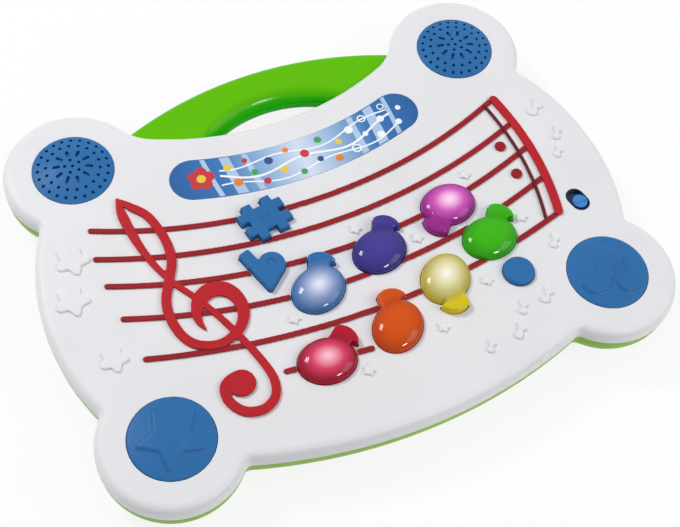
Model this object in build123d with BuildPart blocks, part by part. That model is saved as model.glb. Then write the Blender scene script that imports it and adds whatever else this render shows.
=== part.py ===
"""Musical activity board: a flat battery toy with a raised music staff, note buttons and a carrying handle.

The frame has its origin under the middle of the board, on the surface that the feet stand on.
+X runs to the right along the staff, +Y to the handle, +Z up. All sizes are in millimetres.
"""
import os
from math import cos, radians, sin, sqrt

from build123d import *

os.makedirs("parts", exist_ok=True)

# Board outline, seen from above
board_depth = 257.4
lobe_r = 40.0
back_lobe_x = 122.65
front_lobe_x = 130.0
front_lobe_in = 1.7
front_edge_r = 304.0
side_edge_r = 136.0
side_bulge_x = 169.7
side_bulge_y = -6.7
back_edge_r = 178.0
back_edge_in = 9.35
notch_r = 4.0
back_blend_r = 32.0

# Stack of heights, from the floor up
foot_stand = 2.0
bottom_wall = 2.2
cell_d = 14.2
cell_gap = 0.3
bay_roof = 1.4
board_gap = 1.0
board_t = 1.6
dome_h = 4.0
plunger_drop = 3.1
flange_t = 1.5
top_wall = 2.4

# Shells
skirt_h = 10.0
edge_round = 5.0
belly_straight = 3.0
seam_reveal = 0.4
lip_t = 1.2
lip_h = 2.5
lip_root = 4.0
lip_gap = 0.15

# Fits
button_gap = 0.4
flange_w = 1.2
part_gap = 0.25
thread_gap = 0.05
moving_gap = 0.3

# Handle
handle_reach = 42.15
handle_outer_r = 220.0
finger_gap = 16.65
handle_inner_r = 72.0
handle_h = 15.0
handle_drop = 4.0
handle_round = 5.0
handle_wall = 2.4
handle_foot_x = 47.0
handle_root_x = 90.0
tang_in = 13.35
tang_out = 0.65
tang_corner_r = 6.0

# Note buttons: a tilted oval head with a short flagged stem
note_a = 16.4
note_b = 13.4
note_rim = 1.0
note_crown = 6.0
note_wall = 2.0
stem_angle = 40.0
stem_reach = 22.3
stem_start = 9.0
stem_left = 6.0
stem_right = 5.6
stem_h = 5.0
stem_round = 1.2
flag_w = 9.7
flag_len = 6.0
plunger_u = 13.0
plunger_r = 2.6

# Sharp, flat and round buttons
symbol_h = 4.0
symbol_round = 0.9
sharp_turn = 9.0
sharp_bar_w = 6.2
sharp_long = 28.0
sharp_tall = 24.0
sharp_step_x = 6.1
sharp_step_y = 4.7
flat_turn = 16.7
flat_bowl_r = 7.6
flat_tip_r = 1.3
flat_stem_w = 7.2
flat_stem_l = 28.0
recess_drop = 1.0
round_r = 9.0
round_h = 3.0
round_edge = 1.8

# Corner buttons and speaker grilles
disc_r = 23.1
corner_rim = 0.5
corner_crown = 1.9
corner_wall = 2.4
corner_plunger_r = 4.0
star_r = 18.0
star_turn = 30.0
pair_turn = -17.0
emblem_h = 1.0
grille_rim = 0.4
grille_crown = 4.0
grille_wall = 1.6
grille_flange_w = 2.9
grille_flange_h = 4.0
grille_hole_r = 1.0

# Staff, clef and barline, raised on the board
line_w = 3.4
line_h = 1.0
line_crumb = 4.0
clef_h = 1.7
bar_w = 5.2
thin_bar_w = 1.8
bar_h = 1.5
dot_r = 3.3
relief_gap = 0.15
emboss_h = 0.8

# Label strip
label_w = 27.0
label_t = 0.6
label_recess = 0.5

# Slide switch
slot_l = 15.7
slot_w = 11.2
slot_turn = 102.5
knob_r = 4.3
knob_rise = 0.8
knob_rest = -1.9
slider_l = 22.0
slider_w = 15.0
slider_t = 1.2
slider_gap = 0.1
grip_w = 1.4
grip_turn = 78.0
grip_h = 0.5
lever_w = 3.0
switch_l = 13.0
switch_w = 7.0
switch_h = 5.0

# Silicone domes and lamps
dome_base_r = 5.0
dome_top_r = 3.2
dome_wall = 0.9
lamp_r = 2.5
lamp_h = 3.2

# Circuit boards
board_left = -62.0
board_right = 90.0
board_tab_x = 145.0
board_tab_y = -52.0
board_front = -96.0
board_back = 34.0
corner_board_l = 68.0
corner_board_w = 18.0
corner_screw_x = 29.5
board_boss_r = 3.2
board_screw_r = 0.95
board_screw_head_r = 2.1
board_screw_head_h = 1.4
board_screw_bite = 5.0
chip_r = 6.0
chip_h = 1.6
can_r = 3.2
can_h = 6.0

# Speakers
basket_rim_t = 1.2
basket_rim_r = 25.0
basket_mouth_r = 21.5
basket_back_r = 13.0
basket_h = 10.0
basket_wall = 1.2
cone_t = 0.6
cone_dip = 6.0
cone_neck_r = 7.0
magnet_r = 12.0
magnet_h = 7.0
lug_reach = 29.5
lug_r = 3.4

# Shell screws and their posts
post_r = 6.0
boss_r = 4.0
shoulder_r = 7.0
screw_r = 1.3
screw_head_r = 3.1
screw_head_h = 2.2
screw_wall = 7.0
screw_bite = 11.0

# Cells, their bay and its door
cell_l = 49.0
cell_nub_r = 2.7
cell_nub_h = 1.5
cell_count = 3
contact_t = 0.5
contact_s = 10.0
contact_nub_r = 2.4
contact_reach = 1.6
bay_x = 10.0
bay_y = -25.0
bay_wall = 3.4
door_lap = 1.8
door_tongue_w = 15.0
door_tongue_l = 9.5
door_corner_r = 3.0
door_pad_r = 4.6
door_screw_r = 1.25
door_screw_l = 9.0
door_screw_head_r = 2.6
door_screw_head_h = 1.1

# Feet and leads
foot_r = 8.5
foot_sink = 0.8
lead_r = 0.8
lead_bend = 3.0

# Heights worked out from the stack
z_bottom = foot_stand
z_floor = z_bottom + bottom_wall
z_bay_roof = z_floor + cell_d + 2 * cell_gap
z_board_under = z_bay_roof + bay_roof + board_gap
z_board = z_board_under + board_t
z_plunger = z_board + dome_h
z_flange = z_plunger + plunger_drop
z_under = z_flange + flange_t
z_top = z_under + top_wall
z_seam = z_top - skirt_h
z_handle_top = z_top - handle_drop
z_handle = z_handle_top - handle_h
z_handle_seam = z_handle + handle_h / 2
z_seat = z_handle - screw_wall
z_basket = z_under - grille_flange_h
belly_round = z_seam - z_bottom - belly_straight

# Places worked out from the outline
back_lobe_y = board_depth / 2 - lobe_r
front_edge_y = -board_depth / 2
front_lobe_y = front_edge_y + lobe_r + front_lobe_in
back_edge_y = back_lobe_y - back_edge_in
handle_outer_y = back_edge_y + handle_reach
handle_inner_y = back_edge_y + finger_gap
tang_inner_y = back_edge_y - tang_in
tang_outer_y = back_edge_y + tang_out
back_lobes = [(-back_lobe_x, back_lobe_y), (back_lobe_x, back_lobe_y)]
front_lobes = [(-front_lobe_x, front_lobe_y), (front_lobe_x, front_lobe_y)]

# Places of what sits on the board: x, y and for some the turn in degrees, drawn for a board this deep
drawn_depth = 257.4
notes = {
    "red": (-38.7, -77.6, -5.0),
    "orange": (5.2, -73.4, 41.0),
    "yellow": (42.6, -56.5, 224.5),
    "green": (78.2, -42.3, 6.0),
    "light_blue": (-25.2, -36.0, 25.0),
    "indigo": (16.4, -26.5, 17.0),
    "magenta": (66.2, -13.3, 183.0),
}
sharp_at = (-34.7, 17.0)
flat_at = (-45.5, -13.2)
round_at = (83.1, -67.9)
slot_at = (138.7, -38.0)
repeat_dots = [(113.9, 11.8), (113.7, -9.0)]
label_arc = [(-62.0, 57.3), (2.6, 47.8), (67.3, 58.3)]
stars = [
    (-142.5, 31.8, 8.5),
    (-150.5, 7.8, 8.5),
    (-142.0, -33.7, 6.8),
    (-44.8, -47.5, 2.8),
    (-20.5, -91.0, 2.8),
    (28.0, -83.0, 2.8),
    (64.0, -66.0, 2.8),
    (40.0, -26.5, 2.8),
    (10.0, -7.9, 2.8),
    (85.0, 2.0, 2.8),
    (102.0, -36.5, 2.8),
]
quavers = [
    (147.5, 30.0, 11.0, -30.0),
    (150.5, 8.5, 8.0, -12.0),
    (144.5, -4.0, 7.0, -20.0),
    (112.0, -57.5, 8.0, -16.0),
    (91.0, -86.5, 9.5, -24.0),
    (74.5, -88.5, 7.5, -8.0),
    (66.0, -101.0, 8.5, -20.0),
    (47.0, -103.0, 7.0, -12.0),
]
board_screws = [(-56, 28), (30, 24), (139, 26), (-57, -91), (22, -92), (84, -91), (139, -12)]
chips = [(60, 8), (108, 14)]
cans = [(-8, 28), (120, -20)]
shell_screws = [(62, 80), (137, 58), (152, 0), (88, -104)]
front_screw = (0, -112.0)

# Staff lines by their left end, middle and right end, from the back line to the front one
staff = [
    [(-127.0, 46.0), (0.0, 18.7), (127.0, 45.3)],
    [(-130.5, 27.6), (0.0, 1.4), (129.5, 25.3)],
    [(-130.5, 9.2), (0.0, -16.9), (130.0, 6.5)],
    [(-129.2, -13.0), (0.0, -37.2), (128.5, -16.2)],
    [(-126.5, -40.0), (0.0, -58.9), (124.0, -41.7)],
]
ledger = [(-61.0, -74.9), (-37.0, -77.5), (-13.5, -79.9)]
thick_bar = [(126.4, 44.2), (130.3, 3.0), (123.9, -41.2)]
thin_bar = [(119.1, 41.0), (122.1, 3.0), (114.8, -41.8)]

# Clef strokes: start, a point on the way, end and width
clef_strokes = [
    [(-105.6, 56.4), (-94.2, 43.0), (-91.1, 26.0), 4.9],
    [(-91.1, 26.0), (-92.3, 11.5), (-98.5, 0.0), 5.4],
    [(-98.5, 0.0), (-107.2, -22.0), (-98.0, -43.0), 5.4],
    [(-98.0, -43.0), (-86.0, -46.8), (-74.0, -41.6), 5.2],
    [(-74.0, -41.6), (-67.4, -29.0), (-71.5, -16.4), 7.2],
    [(-71.5, -16.4), (-80.0, -13.9), (-88.5, -20.0), 9.0],
    [(-88.5, -20.0), (-93.5, -27.0), (-92.6, -35.4), 4.4],
    [(-106.2, 55.0), (-107.0, 38.0), (-104.6, 19.0), 5.0],
    [(-104.6, 19.0), (-101.5, 8.3), (-97.0, -1.0), 4.0],
    [(-97.0, -1.0), (-83.0, -26.0), (-73.0, -55.0), 3.0],
    [(-73.0, -55.0), (-69.6, -68.0), (-68.6, -78.5), 3.6],
    [(-68.6, -78.5), (-72.0, -86.6), (-80.0, -90.4), 4.2],
    [(-80.0, -90.4), (-92.6, -86.4), (-95.4, -75.0), 4.8],
    [(-95.4, -75.0), (-93.2, -68.6), (-87.0, -66.6), 4.6],
]
clef_ball = (-85.6, -72.2)
clef_ball_r = 7.7
clef_tip = [(-106.7, 59.9), (-109.0, 48.0), (-98.5, 50.5)]


def save(part, name):
    """Label a finished piece and write its file."""
    part.label = name
    export_step(part, f"parts/{name}.step")


def spread(places):
    """Places drawn for one depth of board, moved to suit another."""
    return [(x, y * board_depth / drawn_depth, *rest) for x, y, *rest in places]


def side_point(y, inset):
    """Point of the right side edge at y, drawn in by inset."""
    return side_bulge_x - side_edge_r + sqrt((side_edge_r - inset) ** 2 - (y - side_bulge_y) ** 2), y


def mirrored(point):
    """The same point on the left half of the board."""
    return -point[0], point[1]


def turned_plane(x, y, turn):
    """Plane on the floor under a button, with its X axis turned by so many degrees."""
    return Plane((x, y, 0), x_dir=(cos(radians(turn)), sin(radians(turn)), 0), z_dir=(0, 0, 1))


def board_outline(inset):
    """Outline of the whole board, drawn in by inset."""
    front_x = front_lobe_x - 0.375 * lobe_r
    front = (front_x, front_edge_y + front_edge_r - sqrt((front_edge_r - inset) ** 2 - front_x**2))
    back_x = back_lobe_x - 0.45 * lobe_r
    back = (back_x, back_edge_y + back_edge_r - sqrt((back_edge_r + inset) ** 2 - back_x**2))
    side_front = side_point(front_lobe_y + lobe_r / 4, inset)
    side_middle = side_point(side_bulge_y, inset)
    side_back = side_point(back_lobe_y - lobe_r / 4, inset)
    with BuildSketch() as outline:
        with BuildLine():
            ThreePointArc(mirrored(front), (0, front_edge_y + inset), front)
            Line(front, side_front)
            ThreePointArc(side_front, side_middle, side_back)
            Line(side_back, back)
            ThreePointArc(back, (0, back_edge_y - inset), mirrored(back))
            Line(mirrored(back), mirrored(side_back))
            ThreePointArc(mirrored(side_back), mirrored(side_middle), mirrored(side_front))
            Line(mirrored(side_front), mirrored(front))
        make_face()
        with Locations(*back_lobes, *front_lobes):
            Circle(lobe_r - inset)
        back_corners = outline.vertices().filter_by(lambda v: abs(v.X) < back_lobe_x and v.Y > 0)
        fillet(back_corners, back_blend_r + inset)
        notches = outline.vertices().filter_by(lambda v: abs(v.X) > back_lobe_x or v.Y < front_lobe_y)
        fillet(notches, notch_r + inset)
    return outline.sketch


def stem_outline(grow):
    """Stem and flag of a note, larger by grow all round."""
    reach = stem_reach + grow
    left = stem_left + grow
    right = stem_right + grow
    flag_u = stem_reach - flag_len - grow
    with BuildSketch() as stem:
        with BuildLine():
            Polyline(
                (flag_u, -flag_w - grow),
                (flag_u - 0.8, -right),
                (stem_start, -right),
                (stem_start, left),
                (reach - 3, left + 0.6),
            )
            ThreePointArc((reach - 3, left + 0.6), (reach, 0), (flag_u, -flag_w - grow))
        make_face()
        fillet(stem.vertices().sort_by(Axis.Y)[-1], 1.2)
        fillet(stem.vertices().sort_by(Axis.Y)[0], 1.2)
    with BuildSketch() as outline:
        add(stem.sketch, rotation=stem_angle)
    return outline.sketch


def note_outline(grow):
    """Oval head and stem of a note, larger by grow all round."""
    with BuildSketch() as outline:
        Ellipse(note_a + grow, note_b + grow)
        add(stem_outline(grow))
    return outline.sketch


def sharp_outline(grow):
    """Four crossing bars, larger by grow all round, with the middle filled."""
    with BuildSketch() as outline:
        with Locations((-sharp_step_x, 0), (sharp_step_x, 0)):
            Rectangle(sharp_bar_w + 2 * grow, sharp_tall + 2 * grow)
        with Locations((0, -sharp_step_y), (0, sharp_step_y)):
            Rectangle(sharp_long + 2 * grow, sharp_bar_w + 2 * grow)
        Rectangle(2 * sharp_step_x, 2 * sharp_step_y)
    return outline.sketch


def flat_outline(grow):
    """Stem and bowl of a flat sign, larger by grow all round."""
    stem_x = 2.3 - flat_bowl_r
    stem_y = 1.5
    bowl_x = stem_x + flat_bowl_r + 0.3
    tip_x = stem_x - flat_stem_w / 2 + flat_tip_r
    tip_y = stem_y - flat_stem_l / 2 + flat_tip_r
    stem_top = stem_y + flat_stem_l / 2
    with BuildSketch() as bowl:
        with Locations((bowl_x, 0)):
            Circle(flat_bowl_r + grow)
        with Locations((tip_x, tip_y), (tip_x, 0)):
            Circle(flat_tip_r + grow)
        make_hull()
    with BuildSketch() as outline:
        add(bowl.sketch)
        with Locations((stem_x, stem_top / 2)):
            RectangleRounded(flat_stem_w + 2 * grow, stem_top + 2 * grow, flat_tip_r + grow)
    return outline.sketch


def round_outline(grow):
    """The small round button, larger by grow all round."""
    with BuildSketch() as outline:
        Circle(round_r + grow)
    return outline.sketch


def arc_strip(points, width):
    """Band of the given width along an arc through three points, with round ends."""
    with BuildSketch() as strip:
        SlotArc(ThreePointArc(*points, mode=Mode.PRIVATE), width)
    return strip.sketch


def clef_outline(grow):
    """The treble clef, stroke by stroke, larger by grow all round."""
    with BuildSketch() as clef:
        for *points, width in clef_strokes:
            add(arc_strip(points, width + 2 * grow))
        with Locations(clef_ball):
            Circle(clef_ball_r + grow)
        Polygon(*clef_tip, align=None)
    return clef.sketch


def barline_outline(grow):
    """Thick and thin bar and the two repeat dots, larger by grow all round."""
    with BuildSketch() as bars:
        add(arc_strip(thick_bar, bar_w + 2 * grow))
        add(arc_strip(thin_bar, thin_bar_w + 2 * grow))
        with Locations(*repeat_dots):
            Circle(dot_r + grow)
    return bars.sketch


def star_outline(r, turn):
    """Five-pointed star with its first point at the given turn."""
    points = []
    for i in range(10):
        reach = 0.56 * r if i % 2 else r
        angle = radians(turn + 36 * i)
        points.append((reach * cos(angle), reach * sin(angle)))
    with BuildSketch() as star:
        Polygon(*points, align=None)
    return star.sketch


def quaver_outline(size):
    """A small eighth note: head, stem and flag."""
    with BuildSketch() as quaver:
        with Locations((-0.14 * size, -0.36 * size)):
            Ellipse(0.2 * size, 0.14 * size, rotation=20)
        with Locations((0.02 * size, 0.05 * size)):
            Rectangle(0.09 * size, 0.84 * size)
        flag_top = (0.02 * size, 0.47 * size)
        flag_low = (0.02 * size, 0.24 * size)
        Polygon(flag_top, flag_low, (0.28 * size, -0.02 * size), (0.34 * size, 0.16 * size), align=None)
    return quaver.sketch


def pair_outline():
    """Two eighth notes under one beam."""
    head_x = 0.52 * star_r
    head_y = -0.4 * star_r
    stem_dx = 0.33 * star_r
    stem_len = 1.05 * star_r
    stroke = 0.16 * star_r
    with BuildSketch() as pair:
        with Locations((-head_x, head_y), (head_x, head_y)):
            Ellipse(0.42 * star_r, 0.34 * star_r, rotation=15)
        with Locations((stem_dx - head_x, head_y), (stem_dx + head_x, head_y)):
            Rectangle(stroke, stem_len, align=(Align.CENTER, Align.MIN))
        with Locations((stem_dx, head_y + stem_len)):
            Rectangle(2 * head_x + stroke, 1.6 * stroke, align=(Align.CENTER, Align.MAX))
    return pair.sketch


def handle_block(grow):
    """Outer form of the whole handle, both halves, larger by grow all round."""
    outer_end = (handle_root_x, handle_outer_y - handle_outer_r + sqrt(handle_outer_r**2 - handle_root_x**2))
    inner_end = (handle_foot_x, handle_inner_y - handle_inner_r + sqrt(handle_inner_r**2 - handle_foot_x**2))
    tang_outer = (handle_root_x, tang_outer_y)
    tang_inner = (handle_foot_x, tang_inner_y)
    with BuildPart() as block:
        with BuildSketch(Plane.XY.offset(z_handle - grow)) as plan:
            with BuildLine():
                ThreePointArc(mirrored(outer_end), (0, handle_outer_y), outer_end)
                Polyline(outer_end, tang_outer, tang_inner, inner_end)
                ThreePointArc(inner_end, (0, handle_inner_y), mirrored(inner_end))
                Polyline(mirrored(inner_end), mirrored(tang_inner), mirrored(tang_outer), mirrored(outer_end))
            make_face()
            fillet(plan.vertices(), tang_corner_r)
            offset(amount=grow, mode=Mode.REPLACE)
        extrude(amount=handle_h + 2 * grow)
        faces = block.faces().sort_by(Axis.Z)
        fillet(faces[0].edges() + faces[-1].edges(), handle_round + grow)
    return block.part


def note_head():
    """Hollow domed head of a note about the origin, open at the flange."""
    z_foot = z_flange + flange_t / 2
    z_spring = z_top + note_rim
    inner_a = note_a - note_wall
    inner_crown = note_crown - note_wall
    with BuildPart() as head:
        with BuildSketch(Plane.XZ):
            with BuildLine():
                Line((note_a, z_foot), (note_a, z_spring))
                EllipticalCenterArc((0, z_spring), note_a, note_crown, start_angle=0, arc_size=90)
                Line((0, z_spring + note_crown), (0, z_spring + inner_crown))
                EllipticalCenterArc((0, z_spring), inner_a, inner_crown, start_angle=0, arc_size=90)
                Polyline((inner_a, z_spring), (inner_a, z_foot), (note_a, z_foot))
            make_face()
        revolve(axis=Axis.Z)
        scale(by=(1, note_b / note_a, 1))
    return head.part


def note_button(x, y, turn):
    """A note button: hollow head, solid stem, hidden flange and plunger."""
    plane = turned_plane(x, y, turn)
    with BuildPart() as button:
        with BuildSketch(plane.offset(z_flange)):
            add(stem_outline(0))
        extrude(amount=z_top + stem_h - z_flange)
        fillet(button.faces().sort_by(Axis.Z)[-1].edges(), stem_round)
        add(plane.location * note_head())
        with BuildSketch(plane.offset(z_flange)):
            add(note_outline(flange_w))
            Ellipse(note_a - note_wall - flange_w / 2, note_b - note_wall - flange_w / 2, mode=Mode.SUBTRACT)
        extrude(amount=flange_t)
        with BuildSketch(plane.offset(z_plunger)):
            with PolarLocations(plunger_u, 1, start_angle=stem_angle):
                Circle(plunger_r)
        extrude(amount=plunger_drop + flange_t)
    return button.part


def symbol_button(plane, outline, rise, rounding, recess=None):
    """A solid button of the given outline with a hidden flange and a plunger, and for some a recess."""
    with BuildPart() as button:
        with BuildSketch(plane.offset(z_under)):
            add(outline(0))
        extrude(amount=top_wall + rise)
        fillet(button.faces().sort_by(Axis.Z)[-1].edges(), rounding)
        if recess:
            with BuildSketch(plane.offset(z_top + rise)):
                add(recess)
            extrude(amount=-recess_drop, mode=Mode.SUBTRACT)
        with BuildSketch(plane.offset(z_flange)):
            add(outline(flange_w))
        extrude(amount=flange_t)
        with BuildSketch(plane.offset(z_plunger)):
            Circle(plunger_r)
        extrude(amount=plunger_drop)
    return button.part


def corner_button(x, y, emblem):
    """A large round button with a raised emblem on its low dome."""
    z_rim = z_top + corner_rim
    z_crown = z_rim + corner_crown
    inner_r = disc_r - corner_wall
    z_ceiling = z_rim - corner_wall
    with BuildPart() as mark:
        with BuildSketch(Plane.XY.offset(z_top)):
            add(emblem)
        extrude(amount=corner_rim + corner_crown + emblem_h)
        with BuildSketch(Plane.XZ):
            add(dome_profile(z_top, z_rim + emblem_h, corner_crown))
        revolve(axis=Axis.Z, mode=Mode.INTERSECT)
    with BuildPart() as button:
        with BuildSketch(Plane.XZ):
            add(dome_profile(z_ceiling, z_rim, corner_crown))
            Polygon(
                (inner_r, z_ceiling),
                (inner_r, z_flange),
                (disc_r + flange_w, z_flange),
                (disc_r + flange_w, z_under),
                (disc_r, z_under),
                (disc_r, z_ceiling),
                align=None,
            )
            with Locations((0, z_plunger)):
                Rectangle(corner_plunger_r, z_ceiling - z_plunger, align=Align.MIN)
        revolve(axis=Axis.Z)
        add(mark.part)
    return Pos(x, y) * button.part


def dome_profile(z_low, z_rim, crown):
    """Half section of a disc with a domed top, from z_low up."""
    radius = (disc_r**2 + crown**2) / (2 * crown)
    with BuildSketch() as profile:
        with BuildLine():
            Polyline((0, z_rim + crown), (0, z_low), (disc_r, z_low), (disc_r, z_rim))
            RadiusArc((disc_r, z_rim), (0, z_rim + crown), -radius)
        make_face()
    return profile.sketch


def grille(x, y):
    """A domed speaker grille with rings of holes, a deep flange and an open back."""
    z_rim = z_top + grille_rim
    inner_r = disc_r - grille_wall
    with BuildPart() as cover:
        with BuildSketch(Plane.XZ):
            add(dome_profile(z_basket, z_rim, grille_crown))
            with Locations((0, z_basket)):
                Rectangle(disc_r + grille_flange_w, grille_flange_h, align=Align.MIN)
            add(dome_profile(z_basket, z_rim - grille_wall, grille_crown), mode=Mode.SUBTRACT)
            with Locations((inner_r, z_basket)):
                Rectangle(disc_r + grille_flange_w - inner_r, grille_flange_h, align=Align.MIN)
            with Locations((inner_r, z_basket)):
                Rectangle(grille_wall, z_rim - z_basket, align=Align.MIN)
        revolve(axis=Axis.Z)
        with BuildSketch(Plane.XY.offset(z_under)):
            Circle(grille_hole_r)
            with PolarLocations(0.19 * disc_r, 5, start_angle=90):
                Circle(grille_hole_r)
            with PolarLocations(0.4 * disc_r, 10, start_angle=-90):
                SlotOverall(0.2 * disc_r, 2 * grille_hole_r)
            with PolarLocations(0.66 * disc_r, 18):
                Circle(grille_hole_r)
            with PolarLocations(0.86 * disc_r, 24):
                Circle(grille_hole_r)
        extrude(amount=top_wall + grille_rim + grille_crown + 1, mode=Mode.SUBTRACT)
    return Pos(x, y) * cover.part


def dome(x, y):
    """A hollow silicone dome standing on a circuit board, its flat top under a plunger."""
    with BuildPart() as spring:
        with BuildSketch(Plane.XZ):
            Polygon(
                (0, z_plunger),
                (dome_top_r, z_plunger),
                (dome_base_r - dome_wall, z_board + dome_wall),
                (dome_base_r, z_board + dome_wall),
                (dome_base_r, z_board),
                (dome_base_r - 2 * dome_wall, z_board),
                (dome_top_r - dome_wall, z_plunger - dome_wall),
                (0, z_plunger - dome_wall),
                align=None,
            )
        revolve(axis=Axis.Z)
    return Pos(x, y) * spring.part


def note_plunger(x, y, turn):
    """Place of a note's plunger on the board."""
    angle = radians(turn + stem_angle)
    return x + plunger_u * cos(angle), y + plunger_u * sin(angle)


def fasteners(places, z_head, head_r, head_h, shaft_r, length):
    """Screws with their heads below z_head and their shafts above it."""
    with BuildPart() as group:
        with BuildSketch(Plane.XY.offset(z_head - head_h)):
            with Locations(*places):
                Circle(head_r)
        extrude(amount=head_h)
        with BuildSketch(Plane.XY.offset(z_head)):
            with Locations(*places):
                Circle(shaft_r)
        extrude(amount=length)
    return group.part


def door_outline(grow):
    """Plate of the battery door with a screw tongue at each end, larger by grow all round."""
    with BuildSketch() as outline:
        with Locations((bay_x, bay_y)):
            RectangleRounded(door_l + 2 * grow, door_d + 2 * grow, door_corner_r + grow)
            SlotOverall(door_l + 2 * door_tongue_l + 2 * grow, door_tongue_w + 2 * grow)
    return outline.sketch


def button_holes(grow):
    """Every button opening of the top plate, larger by grow all round than the button."""
    with BuildSketch() as holes:
        for x, y, turn in notes.values():
            with Locations(Pos(x, y) * Rot(Z=turn)):
                add(note_outline(grow))
        with Locations(Pos(*sharp_at) * Rot(Z=sharp_turn)):
            add(sharp_outline(grow))
        with Locations(Pos(*flat_at) * Rot(Z=flat_turn)):
            add(flat_outline(grow))
        with Locations(round_at):
            Circle(round_r + grow)
        with Locations(*front_lobes):
            Circle(disc_r + grow)
    return holes.sketch


# Places on the board spread with its depth
notes = dict(zip(notes, spread(notes.values())))
sharp_at, flat_at, round_at, slot_at = spread([sharp_at, flat_at, round_at, slot_at])
front_screw, clef_ball = spread([front_screw, clef_ball])
repeat_dots = spread(repeat_dots)
label_arc = spread(label_arc)
stars = spread(stars)
quavers = spread(quavers)
board_screws = spread(board_screws)
chips = spread(chips)
cans = spread(cans)
shell_screws = spread(shell_screws)
staff = [spread(line) for line in staff]
ledger = spread(ledger)
thick_bar = spread(thick_bar)
thin_bar = spread(thin_bar)
clef_tip = spread(clef_tip)
clef_strokes = [[*spread(points), width] for *points, width in clef_strokes]

# Places and planes that follow from the sizes above
post_places = [(side * x, y) for x, y in shell_screws for side in (-1, 1)] + [front_screw]
handle_posts = post_places[:2]
corner_board_screws = [(x + dx, y) for x, y in front_lobes for dx in (-corner_screw_x, corner_screw_x)]
speaker_screws = [(x, y + dy) for x, y in back_lobes for dy in (-lug_reach, lug_reach)]
bay_l = cell_l + cell_nub_h + 2 * (contact_t + contact_reach)
bay_d = cell_count * (cell_d + 2 * cell_gap)
door_l = bay_l + 2 * door_lap
door_d = bay_d + 2 * door_lap
door_screw_x = door_l / 2 + door_tongue_l - door_tongue_w / 2
door_screws = [(bay_x - door_screw_x, bay_y), (bay_x + door_screw_x, bay_y)]
switch_plane = turned_plane(*slot_at, slot_turn)
sharp_plane = turned_plane(*sharp_at, sharp_turn)
flat_plane = turned_plane(*flat_at, flat_turn)
round_plane = turned_plane(*round_at, 0)
handle_space = handle_block(part_gap)

# Top shell
with BuildPart() as top_shell:
    with BuildSketch(Plane.XY.offset(z_seam)):
        add(board_outline(0))
    extrude(amount=skirt_h)
    fillet(top_shell.faces().sort_by(Axis.Z)[-1].edges(), edge_round)
    with BuildSketch(Plane.XY.offset(z_seam)):
        add(board_outline(top_wall))
    extrude(amount=skirt_h - top_wall, mode=Mode.SUBTRACT)
    add(handle_space, mode=Mode.SUBTRACT)
    # Openings, the label recess and the raised marks
    with BuildSketch(Plane.XY.offset(z_under)):
        add(button_holes(button_gap))
        with Locations(*back_lobes):
            Circle(disc_r + part_gap)
        with Locations(Pos(*slot_at) * Rot(Z=slot_turn)):
            SlotOverall(slot_l, slot_w)
    extrude(amount=top_wall, mode=Mode.SUBTRACT)
    with BuildSketch(Plane.XY.offset(z_top - label_recess)):
        add(arc_strip(label_arc, label_w + 2 * part_gap))
    extrude(amount=label_recess, mode=Mode.SUBTRACT)
    with BuildSketch(Plane.XY.offset(z_top)):
        for x, y, r in stars:
            with Locations((x, y)):
                add(star_outline(r, -90))
        for x, y, size, turn in quavers:
            with Locations(Pos(x, y) * Rot(Z=turn)):
                add(quaver_outline(size))
    extrude(amount=emboss_h)
    # Bosses for the shell screws, the boards and the speakers, with their pilot holes
    with BuildSketch(Plane.XY.offset(z_handle)):
        with Locations(*post_places):
            Circle(boss_r)
    extrude(amount=z_under - z_handle)
    with BuildSketch(Plane.XY.offset(z_handle_top)):
        with Locations(*handle_posts):
            Circle(shoulder_r)
    extrude(amount=z_under - z_handle_top)
    with BuildSketch(Plane.XY.offset(z_board)):
        with Locations(*board_screws, *corner_board_screws):
            Circle(board_boss_r)
    extrude(amount=z_under - z_board)
    with BuildSketch(Plane.XY.offset(z_basket)):
        with Locations(*speaker_screws):
            Circle(board_boss_r)
    extrude(amount=z_under - z_basket)
    with BuildSketch(Plane.XY.offset(z_handle)):
        with Locations(*post_places):
            Circle(screw_r + thread_gap)
    extrude(amount=screw_bite + 1, mode=Mode.SUBTRACT)
    with BuildSketch(Plane.XY.offset(z_board)):
        with Locations(*board_screws, *corner_board_screws):
            Circle(board_screw_r + thread_gap)
    extrude(amount=board_screw_bite, mode=Mode.SUBTRACT)
    with BuildSketch(Plane.XY.offset(z_basket)):
        with Locations(*speaker_screws):
            Circle(board_screw_r + thread_gap)
    extrude(amount=board_screw_bite, mode=Mode.SUBTRACT)
save(top_shell.part, "top_shell")

# Bottom shell: the hollow leaves the posts, the battery bay and the door pads standing
with BuildPart() as hollow:
    with BuildSketch(Plane.XY.offset(z_floor)):
        add(board_outline(seam_reveal + bottom_wall))
    extrude(amount=z_seam - z_floor)
    fillet(hollow.faces().sort_by(Axis.Z)[0].edges(), belly_round - bottom_wall)
    with BuildSketch(Plane.XY.offset(z_floor)):
        with Locations(*post_places):
            Circle(post_r)
    extrude(amount=z_handle - z_floor, mode=Mode.SUBTRACT)
    with BuildSketch(Plane.XY.offset(z_floor)):
        with Locations((bay_x, bay_y)):
            Rectangle(bay_l + 2 * bay_wall, bay_d + 2 * bay_wall)
    extrude(amount=z_bay_roof + bay_roof - z_floor, mode=Mode.SUBTRACT)
    with BuildSketch(Plane.XY.offset(z_floor)):
        add(door_outline(moving_gap + door_lap))
    extrude(amount=door_lap, mode=Mode.SUBTRACT)
    with BuildSketch(Plane.XY.offset(z_floor)):
        with Locations(*door_screws):
            Circle(door_pad_r)
    extrude(amount=door_screw_l + door_lap, mode=Mode.SUBTRACT)

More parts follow.
